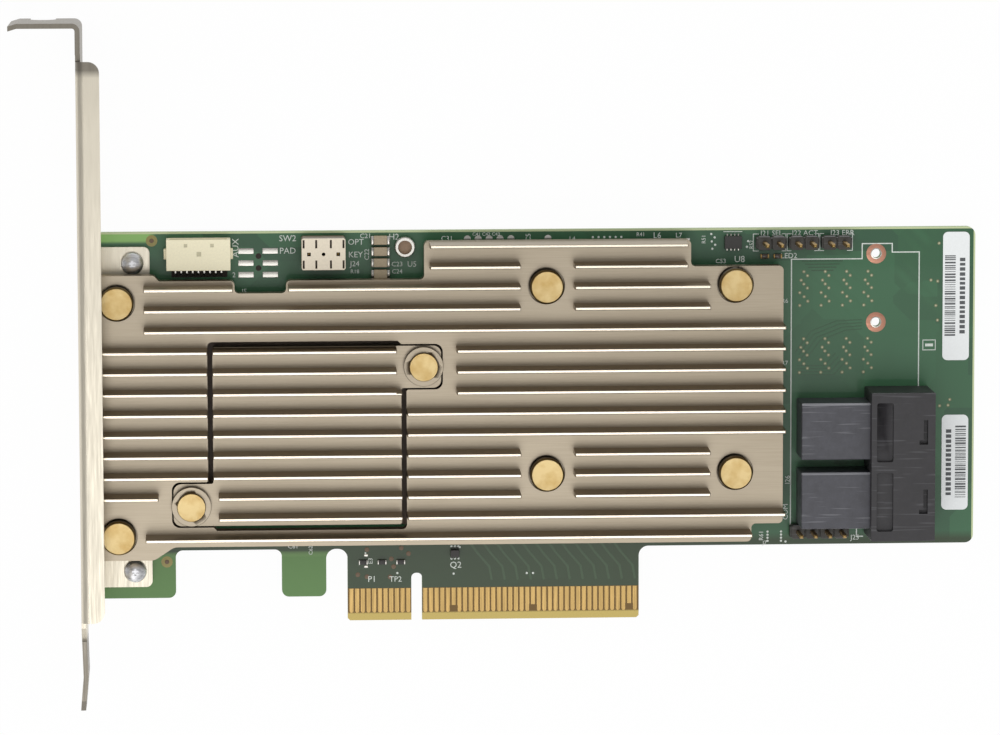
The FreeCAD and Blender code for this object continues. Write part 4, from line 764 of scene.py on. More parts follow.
@dataclass(frozen=True)
class FoldedSheet(DrawnMetal):
    """Plated sheet with painted shade, for darker reflections, on both folded ends and faintly towards its
    top.
    """

    # painted shade colour for darker reflections on the folded ends and near the top
    end_shade: str = "#8E887D"

    def detail(self, tree: bpy.types.NodeTree, shader: bpy.types.Node, place: bpy.types.NodeSocket) -> None:
        """Lay the sheet's lines, then paint darker reflections as shade on both folded ends and faintly
        towards the top.
        """
        super().detail(tree, shader, place)
        low, high = span("bracket")
        parts = add_node(tree, "SeparateXYZ", links={"Vector": place})
        # painted shade: darker reflections on the upper and lower folded ends, and a faint one over the top
        # 60 mm of the flange
        hook_shade, foot_shade, fade = (
            add_node(tree, "MapRange", {"From Min": none * MM, "From Max": full * MM, "To Max": most},
                     {"Value": parts.outputs["Y"]})
            for none, full, most in ((high.y - 9.5, high.y - 8.0, 1.0), (low.y + 13.5, low.y + 12.5, 1.0),
                                     (high.y - 60.0, high.y, 0.15)))
        ends = add_node(tree, "Math", {"operation": "MAXIMUM"},
                        {0: hook_shade, 1: foot_shade})
        share = add_node(tree, "Math", {"operation": "MAXIMUM"},
                         {0: ends, 1: fade})
        skin = shader.inputs["Base Color"].links[0].from_socket
        whole = add_node(tree, "Mix", {"data_type": "RGBA", 7: linear(self.end_shade)},
                         {0: share, 6: skin})
        self.tint(tree, shader, whole.outputs[2])


# nickel-plated extruded aluminium: warm grey with a soft sheen
HEATSINK = FinnedAluminium("nickelled_extruded_aluminium", "#B3A794", 0.36, 1.0)
# rolled steel with bright nickel: almost white, with faint lines up the sheet
BRACKET_STEEL = FoldedSheet("nickel_plated_sheet_steel", "#EAE2D0", 0.4, 1.0, grain=Grain.ALONG_Y, line=0.2,
                           deep="#E0D8C6", bump=0.003)
# zinc-plated machine screw: bright and satin, with grey lathe lines
SCREW_STEEL = DrawnMetal("zinc_plated_screw_steel", "#F0F0F2", 0.4, 1.0, line=0.3, deep="#A9A9AD", bump=0.02)
# spring wire: dark drawn steel that glints along its turns
SPRING_STEEL = DrawnMetal("hard_drawn_spring_wire", "#8C8478", 0.35, 1.0, line=0.1, deep="#5E574C", bump=0.05)
# turned brass: a warm yellow face, matt as handled bar is
BRASS = TurnedBrass("turned_brass", "#D8C08C", 0.38, 1.0)
# hard gold on the contacts: soft yellow with faint lines down each finger
GOLD = DrawnMetal("hard_gold_plating", "#C0A168", 0.38, 1.0, grain=Grain.ALONG_Y, line=0.25, deep="#B0915B",
                  bump=0.02)
# solder: a bright, slightly lumpy grey-white
TIN = DrawnMetal("hot_tin_solder", "#D9D6CF", 0.28, 1.0, line=0.5, deep="#A8A49B", bump=0.12)
# bare copper: pink and half bright
COPPER = DrawnMetal("bare_ring_copper", "#C9967F", 0.42, 1.0, line=0.4, deep="#C48A75", bump=0.03)
# mask over laminate: glossy green with planes and traces a shade apart
MASK = SolderMask("green_solder_mask", "#305F3D", 0.38, ior=1.5, coat=0.1)
# glass-filled nylon in three darks: dull, finely sparkled and lightly scratched, with a painted highlight on
# facets that face up and towards +Y
BLACK_NYLON = ScuffedPlastic("black_glass_nylon", "#343235", 0.48, ior=1.53, amount=0.10)
CARRIER_NYLON = ScuffedPlastic("slate_contact_nylon", "#4A4A51", 0.42, ior=1.53, amount=0.2)
HEADER_NYLON = ScuffedPlastic("brown_black_header_nylon", "#403D38", 0.5, ior=1.53, amount=0.1)
# moulded nylon without glass: a soft ivory or beige with an even sheen
WHITE_NYLON = Finish("ivory_moulded_nylon", "#FBF3D2", 0.42, ior=1.53, shade=0.95)
BEIGE_NYLON = SlottedNylon("beige_moulded_nylon", "#EBDFC9", 0.45, ior=1.53, shade=0.93)
# chip moulding: near black and matt
CHIP_EPOXY = Finish("black_mould_epoxy", "#3A3836", 0.55, ior=1.55)
# nickel on copper: a satin grey plate with fine lines
LID_NICKEL = DrawnMetal("nickelled_copper_lid", "#BDB8AE", 0.35, 1.0, line=0.15, deep="#97928A")
# silicone: matt grey, with almost no highlight
THERMAL_PAD = Finish("grey_silicone_pad", "#8F8C94", 0.75, ior=1.42)
# fired ceramic: tan and softly matt
CERAMIC = Finish("tan_fired_ceramic", "#B3A284", 0.5, ior=1.6)
# clear epoxy over a dark lamp: the sharpest highlight on the board
LED_EPOXY = Finish("smoked_lamp_epoxy", "#4A3D30", 0.2, ior=1.52, coat=0.3)
# printed film: an even white, with grey print that takes no shine
LABEL_FILM = Finish("white_polyester_label", "#EFF2F2", 0.5, ior=1.5, shade=0.97)
LABEL_INK = Finish("grey_thermal_print", "#5D6062", 0.7, ior=1.5)
# screen ink: thick, slightly cool white
WHITE_INK = Finish("white_epoxy_ink", "#DDE3DC", 0.6, ior=1.5)
# mask that thins out round a pad: ochre
HALO = Finish("ochre_mask_halo", "#9A8F50", 0.4, ior=1.5)
# copper lands seen through thin mask: brown
LAND = Finish("thinly_masked_land", "#705A44", 0.42, ior=1.5)
# flux residue left in a soldered bore: matt brown
CLAY_FLUX = Finish("brown_flux_residue", "#B4977C", 0.6, ior=1.5)
# painted shade: a thin dark brown sheet under the window, for the shade down the narrow gap
GAP_SHADE_SHEET = Finish("painted_gap_shade_sheet", "#7A6756", 0.5, ior=1.6)
# painted shade: a greyer ivory on the small recessed moulding marks
MOULD_MARK_SHADE = Finish("ivory_mould_mark_shade", "#CFC8A8", 0.5, ior=1.53)
# painted shade: almost black, for flat discs over two open bores and a band along the backup socket's tails
DARK_SHADE = Finish("painted_dark_shade", "#2E2418", 0.6, ior=1.5)
# vias under mask: olive rims round pale resin
VIA_MASK = Finish("masked_via_rim", "#7F8060", 0.4, ior=1.5)
VIA_PLUG = Finish("resin_filled_via", "#C6C6A4", 0.5, ior=1.5)
# traces raised under the mask: a green step that catches light on one side
TONGUE_MASK = Finish("masked_tongue_trace", "#3A5434", 0.36, ior=1.5, coat=0.1)
TRACE_MASK = Finish("masked_trace_green", "#2B5434", 0.34, ior=1.5, coat=0.1)


# ---------------------------------------------------------------- sub-assemblies

@dataclass
class Heatsinks:
    """The large heatsink and the controller's own one, with rounded fins."""

    edge: float = 0.16

    def build(self) -> None:
        """Model both on their CAD solids, round the crests of the fins, and lay a sheet of painted shade
        under the window.
        """
        for node in ("main_heatsink", "controller_heatsink"):
            crest = span(node)[1].z - 0.1
            piece = soften(drawn_from(node, node + "_casting"), self.edge, 2,
                           near=lambda start, end: min(start.z, end.z) > crest)
            dress(piece, HEATSINK, "heatsink", [node])
        low, high = span("controller_heatsink")
        # painted shade: a thin dark sheet on the board under the gap round the controller heatsink
        film = box("window_gap_shade_sheet", (low.x - 0.2, low.y - 0.8, 0.02), (high.x + 0.6, high.y + 0.8, 0.12))
        chip_low, chip_high = span("controller_chip")
        inset_move(film, lambda centre, normal: normal.z > 0.9, 0.4, -0.03)
        cut(film, box("chip_room", (chip_low.x - 0.4, chip_low.y - 0.4, -1),
                      (chip_high.x + 0.4, chip_high.y + 0.4, 1)))
        dress(film, GAP_SHADE_SHEET, "thermal_pad")


@dataclass
class PushPins:
    """Brass push pins with their springs, one model copied to each hole."""

    prefix: str
    face: float
    head: float
    washer: float = 0.0
    sides: int = 48
    wire: float = 0.45
    turns: float = 3.25
    gap: float = 0.1

    def build(self) -> None:
        """Turn one pin, split its barb, wind one spring, and copy both to the CAD's places."""
        pins = solids(self.prefix + "_pins")
        low, high = pins[0]
        middle = (low + high) / 2
        pin = self.make_pin(low, high)
        spring = self.make_spring(solids(self.prefix + "_springs")[0])
        pin_copies, spring_copies = [], []
        for index, (start, end) in enumerate(pins, start=1):
            shift = (start + end) / 2 - middle
            shift.z = 0
            pin_copies.append(copied(pin, f"pin_{index}", shift))
            spring_copies.append(copied(spring, f"spring_{index}", shift))
        if self.washer:
            plates = []
            for index, (start, end) in enumerate(pins, start=1):
                centre = ((start.x + end.x) / 2, (start.y + end.y) / 2)
                edge, top = self.washer / 2, end.z - 1.1
                plate = turned(f"washer_{index}", [(edge - 0.05, top - 0.2), (edge, top - 0.15),
                                                   (edge, top - 0.06), (edge - 0.06, top)],
                               self.sides, centre)
                cut(plate, turned("bore", [(1.52, top - 1), (1.52, top + 1)], self.sides, centre))
                plates.append(plate)
            dress(joined(plates, self.prefix + "_washers"), HEATSINK, "heatsink")
        for model in (pin, spring):
            bpy.data.objects.remove(model)
        dress(joined(pin_copies, self.prefix + "_brass_pins"), BRASS, "pin", [self.prefix + "_pins"])
        dress(joined(spring_copies, self.prefix + "_coil_springs"), SPRING_STEEL, "spring",
              [self.prefix + "_springs"])

    def make_pin(self, low: Vector, high: Vector) -> Piece:
        """Turn the pin between the CAD's lowest and highest points.

        Args:
            low: the CAD pin's lowest corner.
            high: its highest corner.
        Returns:
            The pin.
        """
        head, face = self.head / 2, self.face / 2
        centre = ((low.x + high.x) / 2, (low.y + high.y) / 2)
        board_back = span("circuit_board")[0].z
        barb_top = board_back - self.gap
        rings = [
            (0.55, low.z), (0.8, low.z + 0.08), (1.95, low.z + 1.1), (1.95, barb_top - 0.05), (1.9, barb_top),
            (1.5, barb_top + 0.001), (1.5, high.z - 1.3), (head - 0.08, high.z - 1.299), (head, high.z - 1.2),
            (head, high.z - 0.45), (head - 0.1, high.z - 0.35), (face + 0.04, high.z - 0.3),
            (face, high.z - 0.06), (face - 0.06, high.z), (face - 0.7, high.z - 0.01), (0.1, high.z - 0.02),
        ]
        pin = turned("pin_model", rings, self.sides, centre)
        slit = box("slit", (centre[0] - 0.35, centre[1] - 3, low.z - 1),
                   (centre[0] + 0.35, centre[1] + 3, board_back))
        cut(pin, slit)
        return pin

    def make_spring(self, place: tuple[Vector, Vector]) -> Piece:
        """Wind the spring in the room of the CAD's spring.

        Args:
            place: the CAD spring's lowest and highest corner.
        Returns:
            The spring.
        """
        low, high = place
        centre = (low + high) / 2
        radius = (high.x - low.x) / 2 - self.wire / 2
        clear()
        bpy.ops.mesh.primitive_circle_add(vertices=8, radius=self.wire / 2 * MM, rotation=(math.pi / 2, 0, 0),
                                          location=(radius * MM, 0, 0))
        spring = settle(bpy.context.object)
        spring.name = "spring_model"
        rise = high.z - low.z - self.wire
        apply_modifier(spring, "SCREW", {
            "angle": 2 * math.pi * self.turns, "screw_offset": rise * MM, "steps": round(24 * self.turns),
            "render_steps": round(24 * self.turns), "use_normal_calculate": True, "use_smooth_shade": True,
        })
        take(spring)
        bpy.ops.object.mode_set(mode="EDIT")
        bpy.ops.mesh.select_all(action="DESELECT")
        bpy.ops.mesh.select_mode(type="EDGE")
        bpy.ops.mesh.select_non_manifold()
        bpy.ops.mesh.edge_face_add()
        bpy.ops.mesh.select_all(action="SELECT")
        bpy.ops.mesh.normals_make_consistent(inside=False)
        leave_edit()
        spring.data.transform(Matrix.Translation(Vector((centre.x, centre.y, low.z + self.wire / 2)) * MM))
        return spring


@dataclass
class Bracket:
    """The folded mounting bracket with its two pan-head screws and nuts."""

    edge: float = 0.12
    socket: float = 1.2

    def build(self) -> None:
        """Round the folded sheet's edges, turn the screws and shape the nuts."""
        sheet = soften(drawn_from("bracket", "bracket_sheet"), self.edge, 2,
                       near=lambda start, end: (start - end).length > 60.0)
        dress(sheet, BRACKET_STEEL, "bracket", ["bracket"])
        screws = [self.make_screw(low, high) for low, high in solids("bracket_screws")]
        dress(joined(screws, "pan_head_screws"), SCREW_STEEL, "screw", ["bracket_screws"])
        nuts = drawn_from("bracket_nuts", "hexagon_nuts")
        dress(soften(nuts, 0.18, 2, 50), SCREW_STEEL, "screw", ["bracket_nuts"])

    def make_screw(self, low: Vector, high: Vector) -> Piece:
        """Turn one screw with a domed head and cut its cross.

        Args:
            low: the CAD screw's lowest corner.
            high: its highest corner.
        Returns:
            The screw.
        """
        centre = ((low.x + high.x) / 2, (low.y + high.y) / 2)
        head = (high.x - low.x) / 2
        tall, rim, sweep, steps = 1.6, 0.25, 1.35, 8
        rings = [(0.9, low.z), (1.25, low.z + 0.3), (1.25, high.z - tall),
                 (head - 0.08, high.z - tall + 0.001)]
        for step in range(1, steps + 1):
            angle = step / steps * sweep
            rise = (tall - rim) * math.sin(angle) / math.sin(sweep)
            rings.append((head * math.cos(angle), high.z - tall + rim + rise))
        screw = turned("screw", rings, 48, centre)
        for wide, deep in ((self.socket, 0.4), (0.4, self.socket)):
            cutter = box("cross", (centre[0] - wide / 2, centre[1] - deep / 2, high.z - 0.4),
                         (centre[0] + wide / 2, centre[1] + deep / 2, high.z + 1))
            cut(screw, cutter)
        take(screw)
        bpy.ops.object.shade_smooth_by_angle(angle=math.radians(32))
        return screw


@dataclass
class PinHeaders:
    """Posts with pointed tips, in moulded bodies with rounded edges."""

    point: float = 0.3

    def build(self) -> None:
        """Model the bodies on their CAD solids and each post by its own block."""
        looks = {
            "jumper_header_bodies": (HEADER_NYLON, "black_plastic", "jumper_mouldings"),
            "console_header_body": (HEADER_NYLON, "black_plastic", "console_moulding"),
            "key_header_body": (BEIGE_NYLON, "beige_plastic", "key_moulding"),
        }
        for node, (finish, slot, name) in looks.items():
            body = drawn_from(node, name)
            near = on_box(*span(node)) if node == "key_header_body" else None
            dress(soften(body, 0.07, near=near), finish, slot, [node])
        for node in ("jumper_header_pins", "console_header_pins", "key_header_pins"):
            posts = [self.make_post(low, high) for low, high in solids(node)]
            dress(joined(posts, node + "_gold"), GOLD, "gold", [node])

    def make_post(self, low: Vector, high: Vector) -> Piece:
        """Square one post and draw its tip to a blunt point.

        Args:
            low: the CAD post's lowest corner.
            high: its highest corner.
        Returns:
            The post.
        """
        post = box("post", low, (high.x, high.y, high.z - self.point))
        edit_faces(post, lambda centre, normal: normal.z > 0.9)
        bpy.ops.mesh.extrude_region_move(TRANSFORM_OT_translate={"value": (0, 0, self.point * MM)})
        bpy.ops.transform.resize(value=(0.4, 0.4, 1))
        leave_edit()
        return soften(post, 0.04, 1)


@dataclass
class DataPort:
    """The double data connector: black housing, slate contact carriers and gold blades."""

    edge: float = 0.2

    def build(self) -> None:
        """Round the mouldings and finish the blades."""
        looks = {
            "data_port_housing": (BLACK_NYLON, "data_port_moulding"),
            "data_port_carriers": (CARRIER_NYLON, "contact_carriers"),
        }
        for node, (finish, name) in looks.items():
            tests = [on_box(low, high) for low, high in solids(node)]
            moulding = soften(drawn_from(node, name), self.edge,
                              near=lambda start, end, tests=tests: any(test(start, end) for test in tests))
            dress(moulding, finish, "black_plastic", [node])
        dress_node("data_port_contacts", GOLD)


@dataclass
class BackupSocket:
    """The ivory side-entry socket for the cache backup lead, with its moulding marks."""

    edge: float = 0.1

    def build(self) -> None:
        """Round the shell and add the ejector marks on its roof."""
        shell = soften(drawn_from("backup_power_socket", "backup_socket_shell"), self.edge)
        low, high = span("backup_power_socket")
        middle = (low.x + high.x) / 2
        marks = []
        for x, y, wide in ((middle - 2.2, high.y - 1.0, 0.6), (middle + 2.4, high.y - 1.0, 0.6),
                           (middle + 0.1, high.y - 2.5, 0.8)):
            mark = box("mark", (x - wide / 2, y - wide / 2, high.z),
                       (x + wide / 2, y + wide / 2, high.z + 0.03))
            inset_move(mark, lambda centre, normal: normal.z > 0.9, 0.12, -0.02)
            marks.append(mark)
        # painted shade: the recessed marks take a greyer ivory
        dress(joined(marks, "socket_moulding_marks"), MOULD_MARK_SHADE, "white_plastic")
        # painted shadow: a dark band on the board along the socket's tails
        shadow_band = box("socket_tail_shadow", (low.x + 1.3, low.y - 1.5, 0.0), (high.x - 1.0, low.y + 0.2, 0.03))
        inset_move(shadow_band, lambda centre, normal: normal.z > 0.9, 0.1, -0.01)
        dress(shadow_band, DARK_SHADE, "board")
        dress(shell, WHITE_NYLON, "white_plastic", ["backup_power_socket"])
        dress(soften(drawn_from("backup_power_contacts", "backup_socket_tails"), 0.03, 1), TIN, "solder",
              ["backup_power_contacts"])


@dataclass
class SmallParts:
    """Chips, ceramic blocks, lamps and the round spacer nut."""

    def build(self) -> None:
        """Round the small mouldings and end caps, and turn the spacer nut."""
        rows = [
            ("logic_chip", CHIP_EPOXY, "chip_plastic", 0.07),
            ("logic_chip_leads", TIN, "solder", 0.03),
            ("bulk_capacitors", CERAMIC, "ceramic", 0.08),
            ("bulk_capacitor_ends", TIN, "solder", 0.12),
            ("edge_resistors", CHIP_EPOXY, "chip_plastic", 0.04),
            ("edge_resistor_ends", TIN, "solder", 0.05),
            ("status_leds", LED_EPOXY, "lamp", 0.05),
            ("status_led_ends", GOLD, "solder", 0.05),
            ("solder_side_capacitors", CERAMIC, "ceramic", 0.05),
            ("solder_side_capacitor_ends", TIN, "solder", 0.05),
            ("transistor", CHIP_EPOXY, "chip_plastic", 0.05),
            ("controller_chip", CHIP_EPOXY, "chip_plastic", 0.08),
            ("controller_lid", LID_NICKEL, "lid", 0.1),
            ("memory_chips", CHIP_EPOXY, "chip_plastic", 0.08),
            ("power_inductors", CHIP_EPOXY, "chip_plastic", 0.15),
        ]
        for node, finish, slot, edge in rows:
            dress(soften(drawn_from(node, node + "_rounded"), edge), finish, slot, [node])
        for node in ("controller_thermal_pad", "memory_thermal_pads", "power_thermal_pads"):
            dress_node(node, THERMAL_PAD)
        low, high = span("spacer_nut")
        centre = ((low.x + high.x) / 2, (low.y + high.y) / 2)
        outer = (high.x - low.x) / 2
        nut = turned("spacer", [(outer - 0.1, low.z), (outer, low.z + 0.1), (outer, high.z - 0.3),
                                (outer - 0.05, high.z - 0.1), (outer - 0.18, high.z)], 16, centre)
        cut(nut, turned("bore", [(1.22, low.z - 1), (1.22, high.z + 1)], 48, centre))
        take(nut)
        bpy.ops.object.shade_smooth_by_angle(angle=math.radians(25))
        well = turned("nut_well", [(1.22, 0.0), (1.22, 0.5), (0.9, 0.52), (0.5, 0.56), (0.1, 0.56)],
                      32, centre)
        dress(well, CLAY_FLUX, "solder")
        nut.name = "round_spacer_nut"
        dress(nut, TIN, "solder", ["spacer_nut"])


class Turn(Enum):
    """Which way a word on the board reads."""

    LEVEL = 0.0
    UP = 90.0


@dataclass
class Artwork:
    """White ink, copper rings, vias, pads and raised traces on the component side."""

    ink: float = 0.03
    line: float = 0.2

    def build(self) -> None:
        """Print every word, line and dot as one thin layer, and lay the copper details."""
        layer = [self.word(*row) for row in self.words()]
        layer += self.outlines()
        layer += self.dots()
        dress(joined(layer, "silkscreen"), WHITE_INK, "label")
        self.rings()
        self.vias()
        self.pads()
        self.traces()

    def words(self) -> list[tuple[str, float, float, float, Turn]]:
        """Give each generic designator with its place, letter height and turn."""
        level, up = Turn.LEVEL, Turn.UP
        return [
            ("AUX", -31.36, 66.05, 1.15, up), ("SW2", -22.3, 67.63, 1.1, level),
            ("PAD", -22.3, 65.45, 1.1, level),
            ("OPT", -10.4, 66.91, 1.05, level), ("KEY", -10.45, 64.69, 1.05, level),
            ("J24", -10.6, 63.1, 0.95, level),
            ("C21", -8.7, 67.97, 0.85, level), ("C22", -8.46, 64.74, 0.85, up),
            ("H2", -3.74, 67.76, 1.1, level),
            ("C23", -3.2, 62.98, 0.85, level), ("C24", -3.2, 61.7, 0.8, level),
            ("U5", -0.6, 62.96, 1.0, level),
            ("R18", -10.6, 61.75, 0.7, level), ("C31", 5.54, 67.41, 0.9, level),
            ("C41 C42 C43", 12.4, 68.15, 0.62, level), ("C5", 19.8, 67.5, 0.9, up),
            ("L4", 27.5, 67.25, 0.8, level),
            ("R41", 39.5, 67.9, 0.7, level), ("L6", 42.4, 67.7, 1.05, level), ("L7", 46.2, 67.7, 0.85, level),
            ("R51", 50.6, 67.0, 0.7, up), ("R52", 59.0, 66.0, 0.7, up), ("C53", 53.6, 63.1, 0.8, level),
            ("U8", 56.9, 63.4, 1.15, level), ("J21 SEL", 62.5, 67.95, 0.95, level),
            ("J22 ACT", 68.4, 67.95, 0.95, level), ("J23 ERR", 75.0, 67.95, 0.95, level),
            ("LED2", 65.6, 63.95, 0.95, level), ("R61", 60.9, 14.4, 0.8, up),
            ("J7", 61.5, 13.1, 0.7, level), ("P1", -7.87, 7.32, 1.1, level), ("TP2", -3.72, 7.28, 1.0, level),
            ("C61", -21.7, 13.3, 0.8, level), ("C62", -18.6, 12.6, 0.7, up), ("E3", -8.1, 10.6, 0.8, up),
            ("Q2", 6.88, 9.71, 1.15, level), ("J25", 77.5, 13.9, 0.9, level), ("COM", 65.2, 18.6, 0.9, up),
            ("J26", 65.55, 24.3, 0.9, up), ("R6", 64.9, 56.0, 0.8, level), ("R7", 64.9, 45.0, 0.8, level),
            ("J5", -29.9, 58.4, 0.9, level), ("2", -31.7, 61.3, 0.9, level),
        ]

    def word(self, text: str, x: float, y: float, height: float, turn: Turn) -> Piece:
        """Print one word as a thin mesh.

        Args:
            text: the letters.
            x: the middle of the word.
            y: the middle of the word.
            height: the height of a capital.
            turn: which way it reads.
        Returns:
            The word, settled.
        """
        clear()
        bpy.ops.object.text_add()
        letters = bpy.context.object
        letters.data.body = text
        letters.data.align_x = "CENTER"
        letters.data.align_y = "CENTER"
        letters.data.size = height * 1.38 * MM
        letters.data.extrude = self.ink / 2 * MM
        letters.data.resolution_u = 2
        bpy.ops.object.convert(target="MESH")
        letters = bpy.context.object
        place = Matrix.Translation(Vector((x, y, self.ink / 2)) * MM)
        letters.data.transform(place @ Matrix.Rotation(math.radians(turn.value), 4, "Z"))
        return letters

    def stroke(self, start: Point, end: Point, width: float, high: float = 0.0, base: float = 0.0) -> Piece:
        """Lay one straight stroke of ink or copper with sloped sides.

        Args:
            start: its first end.
            end: its other end.
            width: how wide it is.
            high: its thickness, or 0 for the ink's.
            base: the level that it starts from.
        Returns:
            The stroke, settled.
        """
        thick = high or self.ink
        run = Vector((end[0] - start[0], end[1] - start[1]))
        length = run.length + width
        piece = box("stroke", (-length / 2, -width / 2, base), (length / 2, width / 2, base + thick))
        edit_faces(piece, lambda centre, normal: normal.z > 0.9)
        bpy.ops.transform.resize(value=(1 - thick / length, 1 - 0.6 * thick / width, 1))
        leave_edit()
        middle = Vector(((start[0] + end[0]) / 2, (start[1] + end[1]) / 2, 0)) * MM
        piece.data.transform(Matrix.Translation(middle) @ Matrix.Rotation(math.atan2(run.y, run.x), 4, "Z"))
        return piece

    def chain(self, spots: Sequence[Point], width: float, high: float = 0.0) -> list[Piece]:
        """Lay strokes from spot to spot, every second one a hair thicker so that no two tops coincide."""
        thick = high or self.ink
        return [self.stroke(start, end, width, thick + 0.004 * (index % 2))
                for index, (start, end) in enumerate(zip(spots, spots[1:]))]

    def outlines(self) -> list[Piece]:
        """Draw the connector's outline, the header boxes and the corner marks."""
        top = 63.36
        lines = self.chain([(66.05, 14.4), (66.05, top), (78.52, top), (78.52, 66.02), (83.82, 66.02),
                            (83.82, 64.49), (88.6, 64.49), (88.6, 40.2)], self.line)
        for low, high in solids("jumper_header_bodies"):
            left, right, down, up = low.x - 0.35, high.x + 0.3, low.y - 0.35, high.y + 0.25
            for side, reach in ((left, 0.9), (right, -0.9)):
                lines += self.chain([(side + reach, up), (side, up), (side, down),
                                     (side + reach, down)], 0.13)
        low, high = span("console_header_body")
        lines += self.chain([(high.x + 1.6, high.y), (high.x + 1.6, low.y), (high.x + 2.7, low.y)], self.line)
        low, high = span("logic_chip")
        lines += self.chain([(low.x - 0.1, high.y + 0.75), (high.x + 0.1, high.y + 0.75)], 0.12)
        # a first-pin mark: a stroke without length
        lines += self.chain([(-9.0, 12.0), (-9.0, 12.0)], 0.3)
        # boxed mark beside the connector
        lines += self.chain([(89.35, 47.15), (91.55, 47.15), (91.55, 48.9), (89.35, 48.9),
                             (89.35, 47.15)], 0.14)
        lines.append(self.stroke((90.0, 48.02), (90.9, 48.02), 0.5))
        return lines

    def dots(self) -> list[Piece]:
        """Print round marks, modelled once and copied."""
        model = turned("dot", [(0.2, 0.0), (0.2, self.ink * 0.6), (0.16, self.ink)], 12)
        spots = [(31.1 + 1.0 * step, 67.5) for step in range(6)]
        spots += [(6.51, 8.19), (19.42, 8.17), (20.52, 8.16), (7.6, 12.9), (51.9, 67.9), (52.5, 67.3),
                  (52.0, 66.6), (52.6, 66.0), (52.1, 65.3), (58.2, 65.6), (58.4, 66.6), (48.6, 62.3),
                  (-3.4, 8.4), (65.2, 13.3)]
        spots += [(6.15 + 0.6 * step, y) for step in range(3) for y in (10.9, 13.05)]
        spots += [(x, 15.1 - 0.55 * step) for x in (62.0, 64.4) for step in range(4)]
        copies = [copied(model, f"dot_{index}", (x, y, 0)) for index, (x, y) in enumerate(spots)]
        bpy.data.objects.remove(model)
        return copies

    def rings(self) -> None:
        """Lay the two bare copper rings round the board's holes, and the two ochre halos."""
        rings, lips = [], []
        for y in (64.26, 52.16):
            ring = turned("ring", [(1.75, 0.0), (1.75, 0.03), (1.7, 0.04)], 48, (81.0, y))
            cut(ring, turned("bore", [(0.98, -1), (0.98, 1)], 48, (81.0, y)))
            rings.append(self.flattened(ring))
            lip = turned("lip", [(0.98, 0.0), (0.98, 0.03), (0.9, 0.05)], 48, (81.0, y))
            cut(lip, turned("bore", [(0.81, -1), (0.81, 1)], 48, (81.0, y)))
            lips.append(self.flattened(lip))
        dress(joined(rings, "copper_rings"), COPPER, "board")
        dress(joined(lips, "tinned_lips"), TIN, "board")
        halos = []
        for x, y in ((-46.0, 67.4), (-43.85, 10.8)):
            halos.append(turned("halo", [(1.0, 0.0), (0.9, 0.008), (0.3, 0.01)], 32, (x, y)))
        dress(joined(halos, "mask_halos"), HALO, "board")
        lands = [turned("land", [(0.42, 0.0), (0.4, 0.012), (0.2, 0.018)], 20, spot) for spot in (
            (-10.36, 8.17), (-8.75, 7.8), (-4.46, 10.92), (-4.05, 9.55), (-4.69, 7.71), (-1.42, 11.84),
            (-8.75, 12.62), (-2.7, 12.85), (-46.0, 67.4), (-43.85, 10.8))]
        dress(joined(lands, "brown_lands"), LAND, "board")

    def flattened(self, piece: Piece) -> Piece:
        """Shade a bored disc by its angles, so that its flat face stays flat."""
        take(piece)
        bpy.ops.object.shade_smooth_by_angle(angle=math.radians(20))
        return piece

    def vias(self) -> None:
        """Set the groups of small vias, each a rim round a pale resin plug."""
        steps = ((0, 0), (0.64, -0.71), (-0.48, -1.51), (0, -2.19), (0.64, -2.9), (-0.71, -3.7),
                 (0.06, -4.41), (0.71, -5.22), (-0.71, -5.96))
        spots = [(68.25 + 3.77 * column + dx, 61.15 - 11.86 * group + dy)
                 for group in (0, 1) for column in range(4) for dx, dy in steps]
        spots += [(92.1, 66.0), (90.7, 59.5), (91.9, 59.3), (91.6, 55.0), (91.9, 52.4), (92.4, 37.2),
                  (94.2, 38.3), (91.3, 17.6), (91.2, 16.2), (93.9, 37.3)]
        rim = turned("rim", [(0.3, 0.0), (0.3, 0.02), (0.26, 0.035)], 14)
        cut(rim, turned("bore", [(0.15, -1), (0.15, 1)], 10))
        plug = turned("plug", [(0.15, -0.01), (0.15, 0.02), (0.08, 0.03)], 10)
        rims = [copied(rim, f"rim_{index}", (x, y, 0)) for index, (x, y) in enumerate(spots)]
        plugs = [copied(plug, f"plug_{index}", (x, y, 0)) for index, (x, y) in enumerate(spots)]
        for model in (rim, plug):
            bpy.data.objects.remove(model)
        dress(joined(rims, "via_rims"), VIA_MASK, "board")
        dress(joined(plugs, "via_plugs"), VIA_PLUG, "board")

    def pads(self) -> None:
        """Raise the tinned pads: six by the socket, the row on the top edge and the small ones."""
        pads = []
        for x in (-29.6, -25.35):
            for y in (65.5, 63.4, 61.35):
                pad = box("pad", (x - 1.35, y - 0.5, 0), (x + 1.35, y + 0.5, 0.06))
                inset_move(pad, lambda centre, normal: normal.z > 0.9, 0.18, 0.05)
                pads.append(soften(pad, 0.03, 1))
        for x in (9.11, 11.0, 12.92, 14.82, 16.73, 23.23):
            pads.append(turned("pad", [(0.62, 0.0), (0.62, 0.04), (0.5, 0.12), (0.1, 0.15)], 20, (x, 67.35)))
        for x, y in ((-8.9, 11.6), (-8.9, 10.6), (-8.9, 9.6), (47.8, 67.0), (44.9, 67.0), (41.0, 67.0)):
            pad = box("pad", (x - 0.35, y - 0.2, 0), (x + 0.35, y + 0.2, 0.05))
            inset_move(pad, lambda centre, normal: normal.z > 0.9, 0.08, 0.03)
            pads.append(pad)
        dress(joined(pads, "tinned_pads"), TIN, "solder")
        # painted shade: flat dark discs for the shade down two open bores
        holes = [turned("hole", [(0.5, 0.0), (0.5, 0.02), (0.45, 0.03)], 24, (-27.4, y))
                 for y in (64.6, 62.5)]
        dress(joined(holes, "bore_shade_discs"), DARK_SHADE, "board")

